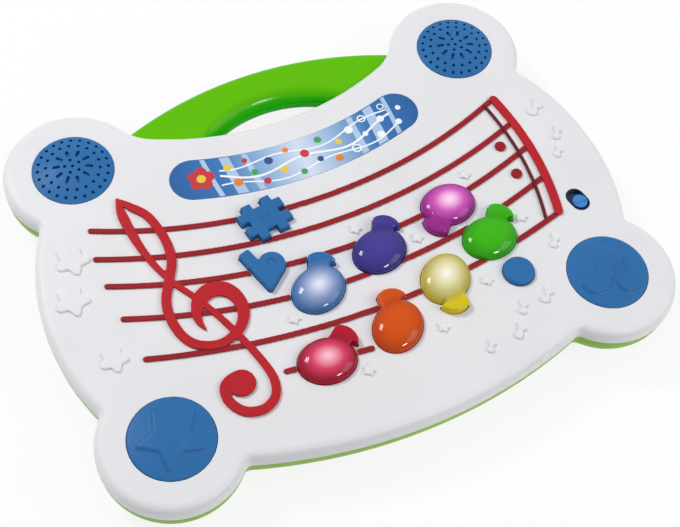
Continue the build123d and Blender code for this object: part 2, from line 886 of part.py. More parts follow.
with BuildPart() as bottom_shell:
    with BuildSketch(Plane.XY.offset(z_bottom)):
        add(board_outline(seam_reveal))
    extrude(amount=z_seam - z_bottom)
    fillet(bottom_shell.faces().sort_by(Axis.Z)[0].edges(), belly_round)
    add(hollow.part, mode=Mode.SUBTRACT)
    # Lip inside the skirt of the top shell
    with BuildSketch(Plane.XY.offset(z_seam - lip_root)):
        add(board_outline(seam_reveal + bottom_wall / 2))
        add(board_outline(top_wall + lip_gap + lip_t), mode=Mode.SUBTRACT)
    extrude(amount=lip_root)
    with BuildSketch(Plane.XY.offset(z_seam)):
        add(board_outline(top_wall + lip_gap))
        add(board_outline(top_wall + lip_gap + lip_t), mode=Mode.SUBTRACT)
    extrude(amount=lip_h)
    add(handle_space, mode=Mode.SUBTRACT)
    # Screw holes, the battery bay with its door opening, and the foot pockets
    with BuildSketch(Plane.XY):
        with Locations(*post_places):
            Circle(screw_head_r + part_gap)
    extrude(amount=z_seat, mode=Mode.SUBTRACT)
    with BuildSketch(Plane.XY.offset(z_seat)):
        with Locations(*post_places):
            Circle(screw_r + part_gap)
    extrude(amount=z_handle - z_seat, mode=Mode.SUBTRACT)
    with BuildSketch(Plane.XY.offset(z_floor)):
        with Locations((bay_x, bay_y)):
            Rectangle(bay_l, bay_d)
    extrude(amount=z_bay_roof - z_floor, mode=Mode.SUBTRACT)
    with BuildSketch(Plane.XY.offset(z_bottom)):
        add(door_outline(moving_gap))
    extrude(amount=bottom_wall, mode=Mode.SUBTRACT)
    with BuildSketch(Plane.XY.offset(z_floor)):
        with Locations(*door_screws):
            Circle(door_screw_r + moving_gap)
    extrude(amount=door_screw_l, mode=Mode.SUBTRACT)
    with BuildSketch(Plane.XY.offset(z_bottom)):
        with Locations(*back_lobes, *front_lobes):
            Circle(foot_r + part_gap)
    extrude(amount=foot_sink, mode=Mode.SUBTRACT)
save(bottom_shell.part, "bottom_shell")

# Handle halves, hollow, with the bosses of the top shell passing through
with BuildPart() as handle:
    add(handle_block(0))
    add(handle_block(-handle_wall), mode=Mode.SUBTRACT)
    with BuildSketch(Plane.XY.offset(z_handle)):
        with Locations(*handle_posts):
            Circle(boss_r + part_gap)
    extrude(amount=handle_h, mode=Mode.SUBTRACT)

with BuildPart() as handle_upper:
    add(handle.part)
    split(bisect_by=Plane.XY.offset(z_handle_seam), keep=Keep.TOP)
save(handle_upper.part, "handle_upper")

with BuildPart() as handle_lower:
    add(handle.part)
    split(bisect_by=Plane.XY.offset(z_handle_seam), keep=Keep.BOTTOM)
save(handle_lower.part, "handle_lower")

# Speaker grilles, corner buttons and note buttons
for side, (x, y) in zip(("left", "right"), back_lobes):
    save(grille(x, y), f"speaker_grille_{side}")
save(corner_button(*front_lobes[0], star_outline(star_r, star_turn)), "star_button")
with BuildSketch() as turned_pair:
    add(pair_outline(), rotation=pair_turn)
save(corner_button(*front_lobes[1], turned_pair.sketch), "notes_button")
for colour, (x, y, turn) in notes.items():
    save(note_button(x, y, turn), f"note_button_{colour}")

# Sharp, flat and round button
with BuildSketch() as sharp_recess:
    Rectangle(2 * sharp_step_x - sharp_bar_w, 2 * sharp_step_y - sharp_bar_w)
save(symbol_button(sharp_plane, sharp_outline, symbol_h, symbol_round, sharp_recess.sketch), "sharp_button")
with BuildSketch() as flat_recess:
    with Locations((0.35 * flat_bowl_r, 0)):
        Ellipse(0.34 * flat_bowl_r, 0.46 * flat_bowl_r)
save(symbol_button(flat_plane, flat_outline, symbol_h, symbol_round, flat_recess.sketch), "flat_button")
save(symbol_button(round_plane, round_outline, round_h, round_edge), "round_button")

# Slide switch: knob on its slider plate, lever below it and the switch on the board
z_slider = z_under - slider_gap - slider_t
with BuildPart() as switch_knob:
    with BuildSketch(switch_plane.offset(z_slider)):
        with Locations((knob_rest, 0)):
            Rectangle(slider_l, slider_w)
    extrude(amount=slider_t)
    with BuildSketch(switch_plane.offset(z_slider)):
        with Locations((knob_rest, 0)):
            Circle(knob_r)
    extrude(amount=z_top + knob_rise - z_slider)
    with BuildSketch(switch_plane.offset(z_top + knob_rise)):
        with Locations(Pos(knob_rest, 0) * Rot(Z=grip_turn)):
            SlotOverall(1.6 * knob_r, grip_w)
    extrude(amount=grip_h)
save(switch_knob.part, "switch_knob")

with BuildPart() as switch_lever:
    with BuildSketch(switch_plane.offset(z_board + switch_h)):
        with Locations((knob_rest, 0)):
            Rectangle(lever_w, lever_w)
    extrude(amount=z_slider - z_board - switch_h)
save(switch_lever.part, "switch_lever")

with BuildPart() as switch_body:
    with BuildSketch(switch_plane.offset(z_board)):
        Rectangle(switch_l, switch_w)
    extrude(amount=switch_h)
save(switch_body.part, "power_switch_body")

# Label strip in its recess
with BuildPart() as label_strip:
    with BuildSketch(Plane.XY.offset(z_top - label_recess)):
        add(arc_strip(label_arc, label_w))
    extrude(amount=label_t)
save(label_strip.part, "label_strip")

# Staff lines and ledger line, clear of the clef, the barline and every button opening, without their crumbs
with BuildSketch(Plane.XY.offset(z_top)) as lines:
    for points in (*staff, ledger):
        add(arc_strip(points, line_w))
    add(clef_outline(relief_gap), mode=Mode.SUBTRACT)
    add(barline_outline(relief_gap), mode=Mode.SUBTRACT)
    add(button_holes(button_gap + moving_gap), mode=Mode.SUBTRACT)
with BuildPart() as staff_lines:
    add([face for face in lines.sketch.faces() if face.area > line_crumb])
    extrude(amount=line_h)
save(staff_lines.part, "staff_lines")

with BuildPart() as treble_clef:
    with BuildSketch(Plane.XY.offset(z_top)):
        add(clef_outline(0))
        add(button_holes(button_gap + moving_gap), mode=Mode.SUBTRACT)
    extrude(amount=clef_h)
save(treble_clef.part, "treble_clef")

with BuildPart() as repeat_barline:
    with BuildSketch(Plane.XY.offset(z_top)):
        add(barline_outline(0))
        add(button_holes(button_gap + moving_gap), mode=Mode.SUBTRACT)
    extrude(amount=bar_h)
save(repeat_barline.part, "repeat_barline")

# Circuit boards with what is soldered to them
with BuildPart() as main_board:
    with BuildSketch(Plane.XY.offset(z_board_under)):
        corners = [
            (board_left, board_front),
            (board_right, board_front),
            (board_right, board_tab_y),
            (board_tab_x, board_tab_y),
            (board_tab_x, board_back),
            (board_left, board_back),
        ]
        Polygon(*spread(corners), align=None)
        with Locations(*board_screws):
            Circle(board_screw_r + part_gap, mode=Mode.SUBTRACT)
    extrude(amount=board_t)
save(main_board.part, "main_pcb")

for side, (x, y) in zip(("left", "right"), front_lobes):
    with BuildPart() as corner_board:
        with BuildSketch(Plane.XY.offset(z_board_under)):
            with Locations((x, y)):
                SlotOverall(corner_board_l, corner_board_w)
            with Locations((x - corner_screw_x, y), (x + corner_screw_x, y)):
                Circle(board_screw_r + part_gap, mode=Mode.SUBTRACT)
        extrude(amount=board_t)
    save(corner_board.part, f"corner_pcb_{side}")

with BuildPart() as note_leds:
    with BuildSketch(Plane.XY.offset(z_board)):
        with Locations(*[(x, y) for x, y, turn in notes.values()]):
            Circle(lamp_r)
    extrude(amount=lamp_h)
    fillet(note_leds.edges().group_by(Axis.Z)[-1], 0.6 * lamp_r)
save(note_leds.part, "note_leds")

with BuildPart() as pcb_parts:
    with BuildSketch(Plane.XY.offset(z_board)):
        with Locations(*chips):
            Circle(chip_r)
    extrude(amount=chip_h)
    with BuildSketch(Plane.XY.offset(z_board)):
        with Locations(*cans):
            Circle(can_r)
    extrude(amount=can_h)
save(pcb_parts.part, "pcb_parts")

# Silicone domes under the plungers
for colour, place in notes.items():
    save(dome(*note_plunger(*place)), f"dome_{colour}")
save(dome(*sharp_at), "dome_sharp")
save(dome(*flat_at), "dome_flat")
save(dome(*round_at), "dome_round")
save(dome(*front_lobes[0]), "dome_star")
save(dome(*front_lobes[1]), "dome_notes")

# Speakers behind the grilles
z_rim_under = z_basket - basket_rim_t
z_basket_back = z_rim_under - basket_h
for side, (x, y) in zip(("left", "right"), back_lobes):
    with BuildPart() as frame:
        with BuildSketch(Plane.XZ):
            Polygon(
                (0, z_basket_back),
                (basket_back_r + basket_wall, z_basket_back),
                (basket_mouth_r + basket_wall, z_rim_under),
                (basket_rim_r, z_rim_under),
                (basket_rim_r, z_basket),
                (basket_mouth_r, z_basket),
                (basket_mouth_r, z_rim_under),
                (basket_back_r, z_basket_back + basket_wall),
                (0, z_basket_back + basket_wall),
                align=None,
            )
        revolve(axis=Axis.Z)
        with BuildSketch(Plane.XY.offset(z_rim_under)):
            SlotOverall(2 * (lug_reach + lug_r), 2 * lug_r, rotation=90)
            Circle(basket_mouth_r + basket_wall, mode=Mode.SUBTRACT)
            with Locations((0, -lug_reach), (0, lug_reach)):
                Circle(board_screw_r + part_gap, mode=Mode.SUBTRACT)
        extrude(amount=basket_rim_t)
    save(Pos(x, y) * frame.part, f"speaker_frame_{side}")

    with BuildPart() as cone:
        with BuildSketch(Plane.XZ):
            Polygon(
                (0, z_basket - cone_dip - cone_t),
                (cone_neck_r, z_basket - cone_dip - cone_t),
                (basket_mouth_r - basket_wall, z_basket - cone_t),
                (basket_mouth_r, z_basket - cone_t),
                (basket_mouth_r, z_basket),
                (basket_mouth_r - basket_wall, z_basket),
                (cone_neck_r, z_basket - cone_dip),
                (0, z_basket - cone_dip + cone_t),
                align=None,
            )
        revolve(axis=Axis.Z)
    save(Pos(x, y) * cone.part, f"speaker_cone_{side}")

    with BuildPart() as magnet:
        with BuildSketch(Plane.XY.offset(z_basket_back - magnet_h)):
            with Locations((x, y)):
                Circle(magnet_r)
        extrude(amount=magnet_h)
    save(magnet.part, f"speaker_magnet_{side}")

# Cells, contacts and the battery door
z_cell = z_floor + cell_gap + cell_d / 2
cell_pitch = cell_d + 2 * cell_gap
cell_ys = [bay_y + (i - (cell_count - 1) / 2) * cell_pitch for i in range(cell_count)]
with BuildPart() as batteries:
    for i, y in enumerate(cell_ys):
        way = 1 if i % 2 else -1
        can_end = bay_x - way * (cell_l + cell_nub_h) / 2
        with BuildSketch(Plane((can_end, y, z_cell), x_dir=(0, 1, 0), z_dir=(way, 0, 0))):
            Circle(cell_d / 2)
        extrude(amount=cell_l)
        with BuildSketch(Plane((can_end + way * cell_l, y, z_cell), x_dir=(0, 1, 0), z_dir=(way, 0, 0))):
            Circle(cell_nub_r)
        extrude(amount=cell_nub_h)
save(batteries.part, "batteries")

with BuildPart() as battery_contacts:
    for y in cell_ys:
        for way in (-1, 1):
            wall_end = bay_x + way * bay_l / 2
            with BuildSketch(Plane((wall_end, y, z_cell), x_dir=(0, 1, 0), z_dir=(-way, 0, 0))):
                Rectangle(contact_s, contact_s)
            extrude(amount=contact_t)
            plate_face = wall_end - way * contact_t
            with BuildSketch(Plane((plate_face, y, z_cell), x_dir=(0, 1, 0), z_dir=(-way, 0, 0))):
                Circle(contact_nub_r)
            extrude(amount=contact_reach)
save(battery_contacts.part, "battery_contacts")

with BuildPart() as battery_door:
    with BuildSketch(Plane.XY.offset(z_bottom)):
        add(door_outline(0))
    extrude(amount=bottom_wall)
    with BuildSketch(Plane.XY.offset(z_bottom)):
        with Locations(*door_screws):
            Circle(door_screw_r + thread_gap)
    extrude(amount=bottom_wall, mode=Mode.SUBTRACT)
    with BuildSketch(Plane.XY.offset(z_bottom)):
        with Locations(*door_screws):
            Circle(door_screw_head_r + part_gap)
    extrude(amount=door_screw_head_h, mode=Mode.SUBTRACT)
save(battery_door.part, "battery_door")

# Screws: door, shell, circuit boards and speakers
z_door_head = z_bottom + door_screw_head_h
door_shaft = bottom_wall - door_screw_head_h + door_screw_l - 1
save(
    fasteners(door_screws, z_door_head, door_screw_head_r, door_screw_head_h, door_screw_r, door_shaft),
    "battery_door_screws",
)
shell_shaft = screw_wall + screw_bite
save(fasteners(post_places, z_seat, screw_head_r, screw_head_h, screw_r, shell_shaft), "shell_screws")
board_places = board_screws + corner_board_screws
board_shaft = board_t + board_screw_bite - 0.5
small_screw = (board_screw_head_r, board_screw_head_h, board_screw_r)
save(fasteners(board_places, z_board_under, *small_screw, board_shaft), "pcb_screws")
speaker_shaft = basket_rim_t + board_screw_bite - 0.5
save(fasteners(speaker_screws, z_rim_under, *small_screw, speaker_shaft), "speaker_screws")

# Rubber feet in their pockets
with BuildPart() as rubber_feet:
    with BuildSketch(Plane.XY):
        with Locations(*back_lobes, *front_lobes):
            Circle(foot_r)
    extrude(amount=z_bottom + foot_sink)
save(rubber_feet.part, "rubber_feet")

# Leads from the speakers and the corner boards to the main board, and from the battery bay up to it
z_lead = z_board + lead_r
z_tap = z_rim_under - lead_r
tap = 0.68 * basket_rim_r
lead_start = front_lobe_x - 24
board_edge = board_left + 4
lead_paths = [
    [(tap - back_lobe_x, back_lobe_y - tap, z_tap), *spread([(-75, 40, z_tap), (board_edge, 18, z_lead)])],
    [(back_lobe_x - tap, back_lobe_y - tap, z_tap), *spread([(80, 50, z_tap), (62, 27, z_lead)])],
    [(-lead_start, front_lobe_y + 6, z_lead), *spread([(-78, -81, z_lead), (board_edge, -80, z_lead)])],
    [(lead_start, front_lobe_y + 6, z_lead), *spread([(94, -81, z_lead), (board_right - 5, -80, z_lead)])],
]
bay_side = bay_x - bay_l / 2 - bay_wall - lead_r - thread_gap
with BuildPart() as internal_leads:
    for path in lead_paths:
        with BuildLine() as run:
            FilletPolyline(*path, radius=lead_bend)
        with BuildSketch(Plane(run.line @ 0, z_dir=run.line % 0)):
            Circle(lead_r)
        sweep(path=run.line)
    with BuildSketch(Plane.XY.offset(z_floor + cell_d / 2)):
        with Locations((bay_side, bay_y - 12), (bay_side, bay_y + 12)):
            Circle(lead_r)
    extrude(amount=z_board_under - z_floor - cell_d / 2)
save(internal_leads.part, "internal_leads")
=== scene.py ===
"""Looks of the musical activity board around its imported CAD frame. Metres, or millimetres where a comment says so."""
from math import atan2, cos, hypot, pi, radians, sin

import bmesh
import bpy
from mathutils import Matrix, Vector


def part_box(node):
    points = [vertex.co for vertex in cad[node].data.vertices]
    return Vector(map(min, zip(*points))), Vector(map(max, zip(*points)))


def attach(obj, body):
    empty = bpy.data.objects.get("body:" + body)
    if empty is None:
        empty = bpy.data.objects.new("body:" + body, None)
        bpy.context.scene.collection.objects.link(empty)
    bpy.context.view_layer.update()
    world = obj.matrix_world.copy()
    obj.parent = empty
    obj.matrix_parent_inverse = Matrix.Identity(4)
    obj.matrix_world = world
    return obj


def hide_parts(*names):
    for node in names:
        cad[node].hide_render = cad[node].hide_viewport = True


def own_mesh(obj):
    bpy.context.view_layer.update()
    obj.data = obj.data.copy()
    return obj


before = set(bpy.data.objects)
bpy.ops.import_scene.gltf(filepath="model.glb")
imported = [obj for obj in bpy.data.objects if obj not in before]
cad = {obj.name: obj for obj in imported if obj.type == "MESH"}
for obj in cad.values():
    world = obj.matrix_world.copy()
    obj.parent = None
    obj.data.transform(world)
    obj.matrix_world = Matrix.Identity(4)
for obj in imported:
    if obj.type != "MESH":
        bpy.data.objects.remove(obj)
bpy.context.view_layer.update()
mm = 0.001

# Heights and places of the board that the pieces below are set on
board_top = 34.0 * mm
board_under = 31.6 * mm
shell_bottom = 2.0 * mm
label_top = 34.1 * mm
label_from = -76 * mm
label_to = 82 * mm
slot_at = (138.7 * mm, -38.0 * mm)
slot_long = 15.7 * mm
slot_wide = 11.2 * mm
slot_turn = radians(102.5)
knob_foot = 31.8 * mm
knob_top = 34.6 * mm
note_long = 16.4 * mm
note_short = 13.4 * mm
cell_from = -16 * mm
cell_to = 36 * mm

# The same in millimetres: middles of the right-hand lobes and of the battery bay, and the label's middle line
back_lobe = (122.65, 88.7)
front_lobe = (130.0, -87.0)
bay_x = 10.0
bay_y = -25.0
label_arc = [(-62.0, 57.3), (2.6, 47.8), (67.3, 58.3)]

# Each note: place of its head in millimetres, turn in degrees, whether its lamp is on, and its colours
# from the lamp's spot outwards to the stem, the rim's tint darkened by painted shade
notes = {
    "red": (-38.7, -77.6, -5.0, True, ("F2B2C4", "DA3E64", "9C0E2A", "B20C2A")),
    "orange": (5.2, -73.4, 41.0, False, ("D65204", "D45002", "C24400", "D24E00")),
    "yellow": (42.6, -56.5, 224.5, True, ("ECE9D4", "DAD294", "BBAC46", "D6C214")),
    "green": (78.2, -42.3, 6.0, False, ("3CB606", "3AB403", "30A200", "36B002")),
    "light_blue": (-25.2, -36.0, 25.0, True, ("D6DAE8", "8FA1C9", "4B74AC", "2A6AAA")),
    "indigo": (16.4, -26.5, 17.0, False, ("453C94", "43398F", "392F80", "42388E")),
    "magenta": (66.2, -13.3, 183.0, True, ("F8CEE4", "D45ABC", "9A288C", "982488")),
}


def linear(code):
    """Linear colour of an sRGB hex code."""
    values = [int(code[i : i + 2], 16) / 255 for i in (0, 2, 4)]
    return (*[v / 12.92 if v <= 0.04045 else ((v + 0.055) / 1.055) ** 2.4 for v in values], 1.0)


def add(tree, kind, inputs=None, stops=None, **settings):
    """Adds a node with its settings; inputs holds a value, a socket or a list of sockets for each input it names."""
    made = tree.nodes.new(kind)
    for name, value in settings.items():
        setattr(made, name, value)
    for key, value in (inputs or {}).items():
        socket = made.inputs[key] if isinstance(key, int) else next(
            s for s in made.inputs if key in (s.identifier, s.name))
        if isinstance(value, bpy.types.NodeSocket):
            value = [value]
        if isinstance(value, list):
            for source in value:
                tree.links.new(source, socket)
        else:
            socket.default_value = value
    for i, (place, code) in enumerate(stops or []):
        elements = made.color_ramp.elements
        element = elements[i] if i < 2 else elements.new(place)
        element.position = place
        element.color = linear(code)
    return made


def new_material(name):
    """An empty node material and its tree."""
    material = bpy.data.materials.new(name)
    material.use_nodes = True
    material.node_tree.nodes.clear()
    return material, material.node_tree


def surface(tree, base, roughness, bump=None, **sockets):
    """Ends a material in one principled shader."""
    inputs = {"Base Color": base, "Roughness": roughness}
    if bump is not None:
        inputs["Normal"] = bump
    inputs.update({name.replace("_", " "): value for name, value in sockets.items()})
    shader = add(tree, "ShaderNodeBsdfPrincipled", inputs)
    add(tree, "ShaderNodeOutputMaterial", {"Surface": shader.outputs["BSDF"]})
    return shader


def moulded(name, tones, rough, grain, depth, flow=40 * mm, **sockets):
    """Injection-moulded plastic: tones drift with the flow of the melt, the tool's grain breaks up the gloss."""
    material, tree = new_material(name)
    place = add(tree, "ShaderNodeTexCoord").outputs["Object"]
    drift = add(tree, "ShaderNodeTexNoise", {"Vector": place, "Scale": 1 / flow, "Detail": 3.0})
    colour = add(tree, "ShaderNodeValToRGB", {"Fac": drift.outputs["Fac"]},
                 stops=[(0.3, tones[0]), (0.7, tones[1])])
    skin = add(tree, "ShaderNodeTexNoise", {"Vector": place, "Scale": 1 / grain, "Detail": 2.0})
    gloss = add(tree, "ShaderNodeMapRange", {
        "Value": skin.outputs["Fac"], "From Min": 0.3, "From Max": 0.7, "To Min": rough[0], "To Max": rough[1]})
    relief = add(tree, "ShaderNodeBump", {"Height": skin.outputs["Fac"], "Strength": 0.5, "Distance": depth})
    surface(tree, colour.outputs["Color"], gloss.outputs["Result"], relief.outputs["Normal"], **sockets)
    return material


def note_plastic(colour, x, y, turn, lit, codes):
    """Clear tinted polystyrene over a lamp: deep gloss, and a pale spot in the head where the lamp shines through."""
    material, tree = new_material(f"polystyrene_tinted_{colour}")
    place = add(tree, "ShaderNodeTexCoord").outputs["Object"]
    head = add(tree, "ShaderNodeMapping", {
        "Vector": place, "Location": (x * mm, y * mm, 0), "Rotation": (0, 0, radians(turn)),
        "Scale": (note_long, note_short, 1)}, vector_type="TEXTURE")
    flat = add(tree, "ShaderNodeVectorMath", {0: head.outputs["Vector"], 1: (1, 1, 0)}, operation="MULTIPLY")
    reach = add(tree, "ShaderNodeVectorMath", {0: flat.outputs["Vector"]}, operation="LENGTH")
    share = add(tree, "ShaderNodeMath", {0: reach.outputs["Value"], 1: 0.8}, operation="MULTIPLY")
    spot, middle, painted_shade_rim, stem = codes
    # The rim colour is the note's tint darkened by painted shade
    tint = add(tree, "ShaderNodeValToRGB", {"Fac": share.outputs["Value"]},
               stops=[(0.06, spot), (0.92, stem), (0.42, middle), (0.72, painted_shade_rim)])
    skin = add(tree, "ShaderNodeTexNoise", {"Vector": place, "Scale": 1 / (3 * mm), "Detail": 2.0})
    gloss = add(tree, "ShaderNodeMapRange", {"Value": skin.outputs["Fac"], "To Min": 0.06, "To Max": 0.12})
    relief = add(tree, "ShaderNodeBump", {"Height": skin.outputs["Fac"], "Strength": 0.3, "Distance": 0.04 * mm})
    shader = surface(tree, tint.outputs["Color"], gloss.outputs["Result"], relief.outputs["Normal"],
                     IOR=1.57, Specular_IOR_Level=0.14)
    if lit:
        glow = add(tree, "ShaderNodeMapRange", {
            "Value": share.outputs["Value"], "From Min": 0.0, "From Max": 0.6, "To Min": 0.15, "To Max": 0.0},
            interpolation_type="SMOOTHSTEP")
        tree.links.new(tint.outputs["Color"], shader.inputs["Emission Color"])
        tree.links.new(glow.outputs["Result"], shader.inputs["Emission Strength"])
    return material


# Finishes
# Satin white ABS: bright, hardly any gloss, a fine spark-eroded skin drawn at 1.2 mm so that it shows
white_abs = moulded("abs_satin_white", ("E3E3E4", "E8E7E9"), (0.42, 0.52), 1.2 * mm, 0.03 * mm, IOR=1.54,
                    Specular_IOR_Level=0.22)
# Satin blue ABS of the buttons and grilles: even, with a slightly coarser skin
blue_abs = moulded("abs_satin_blue", ("2D6AA3", "3270AA"), (0.36, 0.46), 1.0 * mm, 0.04 * mm, IOR=1.54,
                   Specular_IOR_Level=0.1)
# Red ABS of the raised music lines: darker in the narrow lines than in the broad clef
red_lines = moulded("abs_satin_dark_red", ("8E1D25", "982128"), (0.4, 0.5), 1.0 * mm, 0.03 * mm, IOR=1.54,
                    Specular_IOR_Level=0.12)
red_clef = moulded("abs_satin_red", ("B32028", "BB242C"), (0.38, 0.48), 1.0 * mm, 0.03 * mm, IOR=1.54,
                   Specular_IOR_Level=0.12)
# Deep red of the thin bar
red_thin = moulded("abs_satin_deep_red", ("5C141E", "681722"), (0.4, 0.5), 1.0 * mm, 0.03 * mm, IOR=1.54,
                   Specular_IOR_Level=0.15)
# Yellow-green ABS of the lower shell: the same tool grain as the white one
green_abs = moulded("abs_satin_yellow_green", ("86B61A", "8EBF20"), (0.4, 0.5), 1.2 * mm, 0.03 * mm, IOR=1.54,
                    Specular_IOR_Level=0.3)
# Black moulded nylon, dull
black_nylon = moulded("nylon_black", ("17181A", "1F2022"), (0.45, 0.6), 0.8 * mm, 0.04 * mm, IOR=1.53)
# Black epoxy of chips and cans, dull and slightly rippled
black_epoxy = moulded("epoxy_black", ("121214", "1A1A1D"), (0.25, 0.4), 1.5 * mm, 0.1 * mm, IOR=1.55)
# Translucent silicone of the domes: milky, soft sheen
silicone = moulded("silicone_milky", ("C9CDD0", "D6D9DB"), (0.45, 0.6), 1.0 * mm, 0.04 * mm, IOR=1.41,
                   Subsurface_Weight=0.3, Subsurface_Scale=2 * mm)
# Milky lamp epoxy, glossy
lamp_epoxy = moulded("epoxy_milky_lamp", ("EDEFF0", "F6F7F7"), (0.1, 0.18), 2 * mm, 0.02 * mm, IOR=1.55)
# Grey thermoplastic rubber of the feet: matt with a dusty bloom
rubber = moulded("rubber_grey", ("55585B", "64676A"), (0.75, 0.9), 0.9 * mm, 0.08 * mm, IOR=1.5)
# PVC lead covering, dull black
lead_pvc = moulded("pvc_lead_black", ("1B1C1F", "26272A"), (0.4, 0.55), 1.5 * mm, 0.04 * mm, IOR=1.53)
# Speaker cone of pressed paper pulp: fibrous and quite matt
paper_pulp = moulded("paper_pulp_black", ("1C1B1A", "2A2927"), (0.85, 0.95), 0.7 * mm, 0.12 * mm, IOR=1.47)
# Sintered ferrite magnet: dark grey and gritty
ferrite = moulded("ferrite_sintered", ("2E2F31", "3A3B3D"), (0.6, 0.75), 0.6 * mm, 0.1 * mm, IOR=2.3)
# Zinc-plated steel of screws and speaker frames: bright with a cloudy plating
zinc_steel = moulded("steel_zinc_plated", ("B9BCC0", "CDD0D3"), (0.28, 0.42), 1.5 * mm, 0.03 * mm,
                     flow=6 * mm, Metallic=1.0)
# Nickel-plated spring steel of the battery contacts
nickel_steel = moulded("steel_nickel_plated", ("C6C3BC", "D6D3CC"), (0.18, 0.3), 1.2 * mm, 0.02 * mm,
                       flow=8 * mm, Metallic=1.0)


def handle_plastic():
    """Glossy lime polypropylene; painted shade makes the steep side that faces the board a deeper green."""
    material, tree = new_material("polypropylene_gloss_lime")
    where = add(tree, "ShaderNodeTexCoord")
    drift = add(tree, "ShaderNodeTexNoise", {"Vector": where.outputs["Object"], "Scale": 1 / (30 * mm)})
    # Painted shade: faces that look up or back get the lime, the steep side facing the board a deeper green
    facing = add(tree, "ShaderNodeSeparateXYZ", {"Vector": where.outputs["Normal"]})
    level = add(tree, "ShaderNodeMath", {0: facing.outputs["Z"]}, operation="ABSOLUTE")
    bright = add(tree, "ShaderNodeMath", {0: level.outputs["Value"], 1: facing.outputs["Y"]}, operation="MAXIMUM")
    painted_shade_and_drift = add(tree, "ShaderNodeMath", {0: drift.outputs["Fac"], 1: 0.08, 2: bright.outputs["Value"]},
               operation="MULTIPLY_ADD")
    colour = add(tree, "ShaderNodeValToRGB", {"Fac": painted_shade_and_drift.outputs["Value"]},
                 stops=[(0.05, "00CC1C"), (0.95, "60BC02"), (0.6, "2CBC06")])
    skin = add(tree, "ShaderNodeTexNoise", {"Vector": where.outputs["Object"], "Scale": 1 / (2 * mm), "Detail": 2.0})
    gloss = add(tree, "ShaderNodeMapRange", {"Value": skin.outputs["Fac"], "To Min": 0.1, "To Max": 0.16})
    relief = add(tree, "ShaderNodeBump", {"Height": skin.outputs["Fac"], "Strength": 0.3, "Distance": 0.02 * mm})
    surface(tree, colour.outputs["Color"], gloss.outputs["Result"], relief.outputs["Normal"], IOR=1.49,
            Specular_IOR_Level=0.08)
    return material


def knob_plastic():
    """Blue ABS slider with painted shade: dark navy down in its slot, lighter up on the knob."""
    material, tree = new_material("abs_knob_blue_painted_shade")
    place = add(tree, "ShaderNodeTexCoord").outputs["Object"]
    height = add(tree, "ShaderNodeSeparateXYZ", {"Vector": place})
    rise = add(tree, "ShaderNodeMapRange", {
        "Value": height.outputs["Z"], "From Min": knob_foot, "From Max": knob_top})
    # Painted shade: the slider's blue darkens with depth into the slot
    colour = add(tree, "ShaderNodeValToRGB", {"Fac": rise.outputs["Result"]},
                 stops=[(0.0, "0B2748"), (1.0, "3C82C4"), (0.75, "225C9C")])
    skin = add(tree, "ShaderNodeTexNoise", {"Vector": place, "Scale": 1 / (1 * mm), "Detail": 2.0})
    gloss = add(tree, "ShaderNodeMapRange", {"Value": skin.outputs["Fac"], "To Min": 0.2, "To Max": 0.34})
    surface(tree, colour.outputs["Color"], gloss.outputs["Result"], IOR=1.54, Specular_IOR_Level=0.3)
    return material


def board_laminate():
    """Glass-epoxy circuit board: green solder mask with slightly lighter copper tracks showing under it."""
    material, tree = new_material("glass_epoxy_green_mask")
    place = add(tree, "ShaderNodeTexCoord").outputs["Object"]
    track = add(tree, "ShaderNodeTexBrick", {
        "Vector": place, "Scale": 1.0, "Mortar Size": 0.5 * mm, "Brick Width": 17 * mm, "Row Height": 2.5 * mm,
        "Color1": linear("0E5A2E"), "Color2": linear("0C5229"), "Mortar": linear("2C8A48")})
    weave = add(tree, "ShaderNodeTexNoise", {"Vector": place, "Scale": 1 / (0.8 * mm)})
    gloss = add(tree, "ShaderNodeMapRange", {"Value": weave.outputs["Fac"], "To Min": 0.25, "To Max": 0.45})
    relief = add(tree, "ShaderNodeBump", {"Height": track.outputs["Fac"], "Strength": 0.4, "Distance": 0.05 * mm})
    surface(tree, track.outputs["Color"], gloss.outputs["Result"], relief.outputs["Normal"], IOR=1.5)
    return material


def cell_jacket():
    """Shrink sleeve of a dry cell: a dark body with one copper-coloured end, glossy film."""
    material, tree = new_material("pvc_shrink_sleeve")
    place = add(tree, "ShaderNodeTexCoord").outputs["Object"]
    along = add(tree, "ShaderNodeSeparateXYZ", {"Vector": place})
    share = add(tree, "ShaderNodeMapRange", {
        "Value": along.outputs["X"], "From Min": cell_from, "From Max": cell_to})
    colour = add(tree, "ShaderNodeValToRGB", {"Fac": share.outputs["Result"]},
                 stops=[(0.0, "B9BBBD"), (1.0, "B9BBBD"), (0.03, "232427"), (0.68, "232427"), (0.69, "B4722E"),
                        (0.97, "B4722E")])
    colour.color_ramp.interpolation = "CONSTANT"
    skin = add(tree, "ShaderNodeTexNoise", {"Vector": place, "Scale": 1 / (4 * mm)})
    gloss = add(tree, "ShaderNodeMapRange", {"Value": skin.outputs["Fac"], "To Min": 0.2, "To Max": 0.35})
    surface(tree, colour.outputs["Color"], gloss.outputs["Result"], IOR=1.53)
    return material


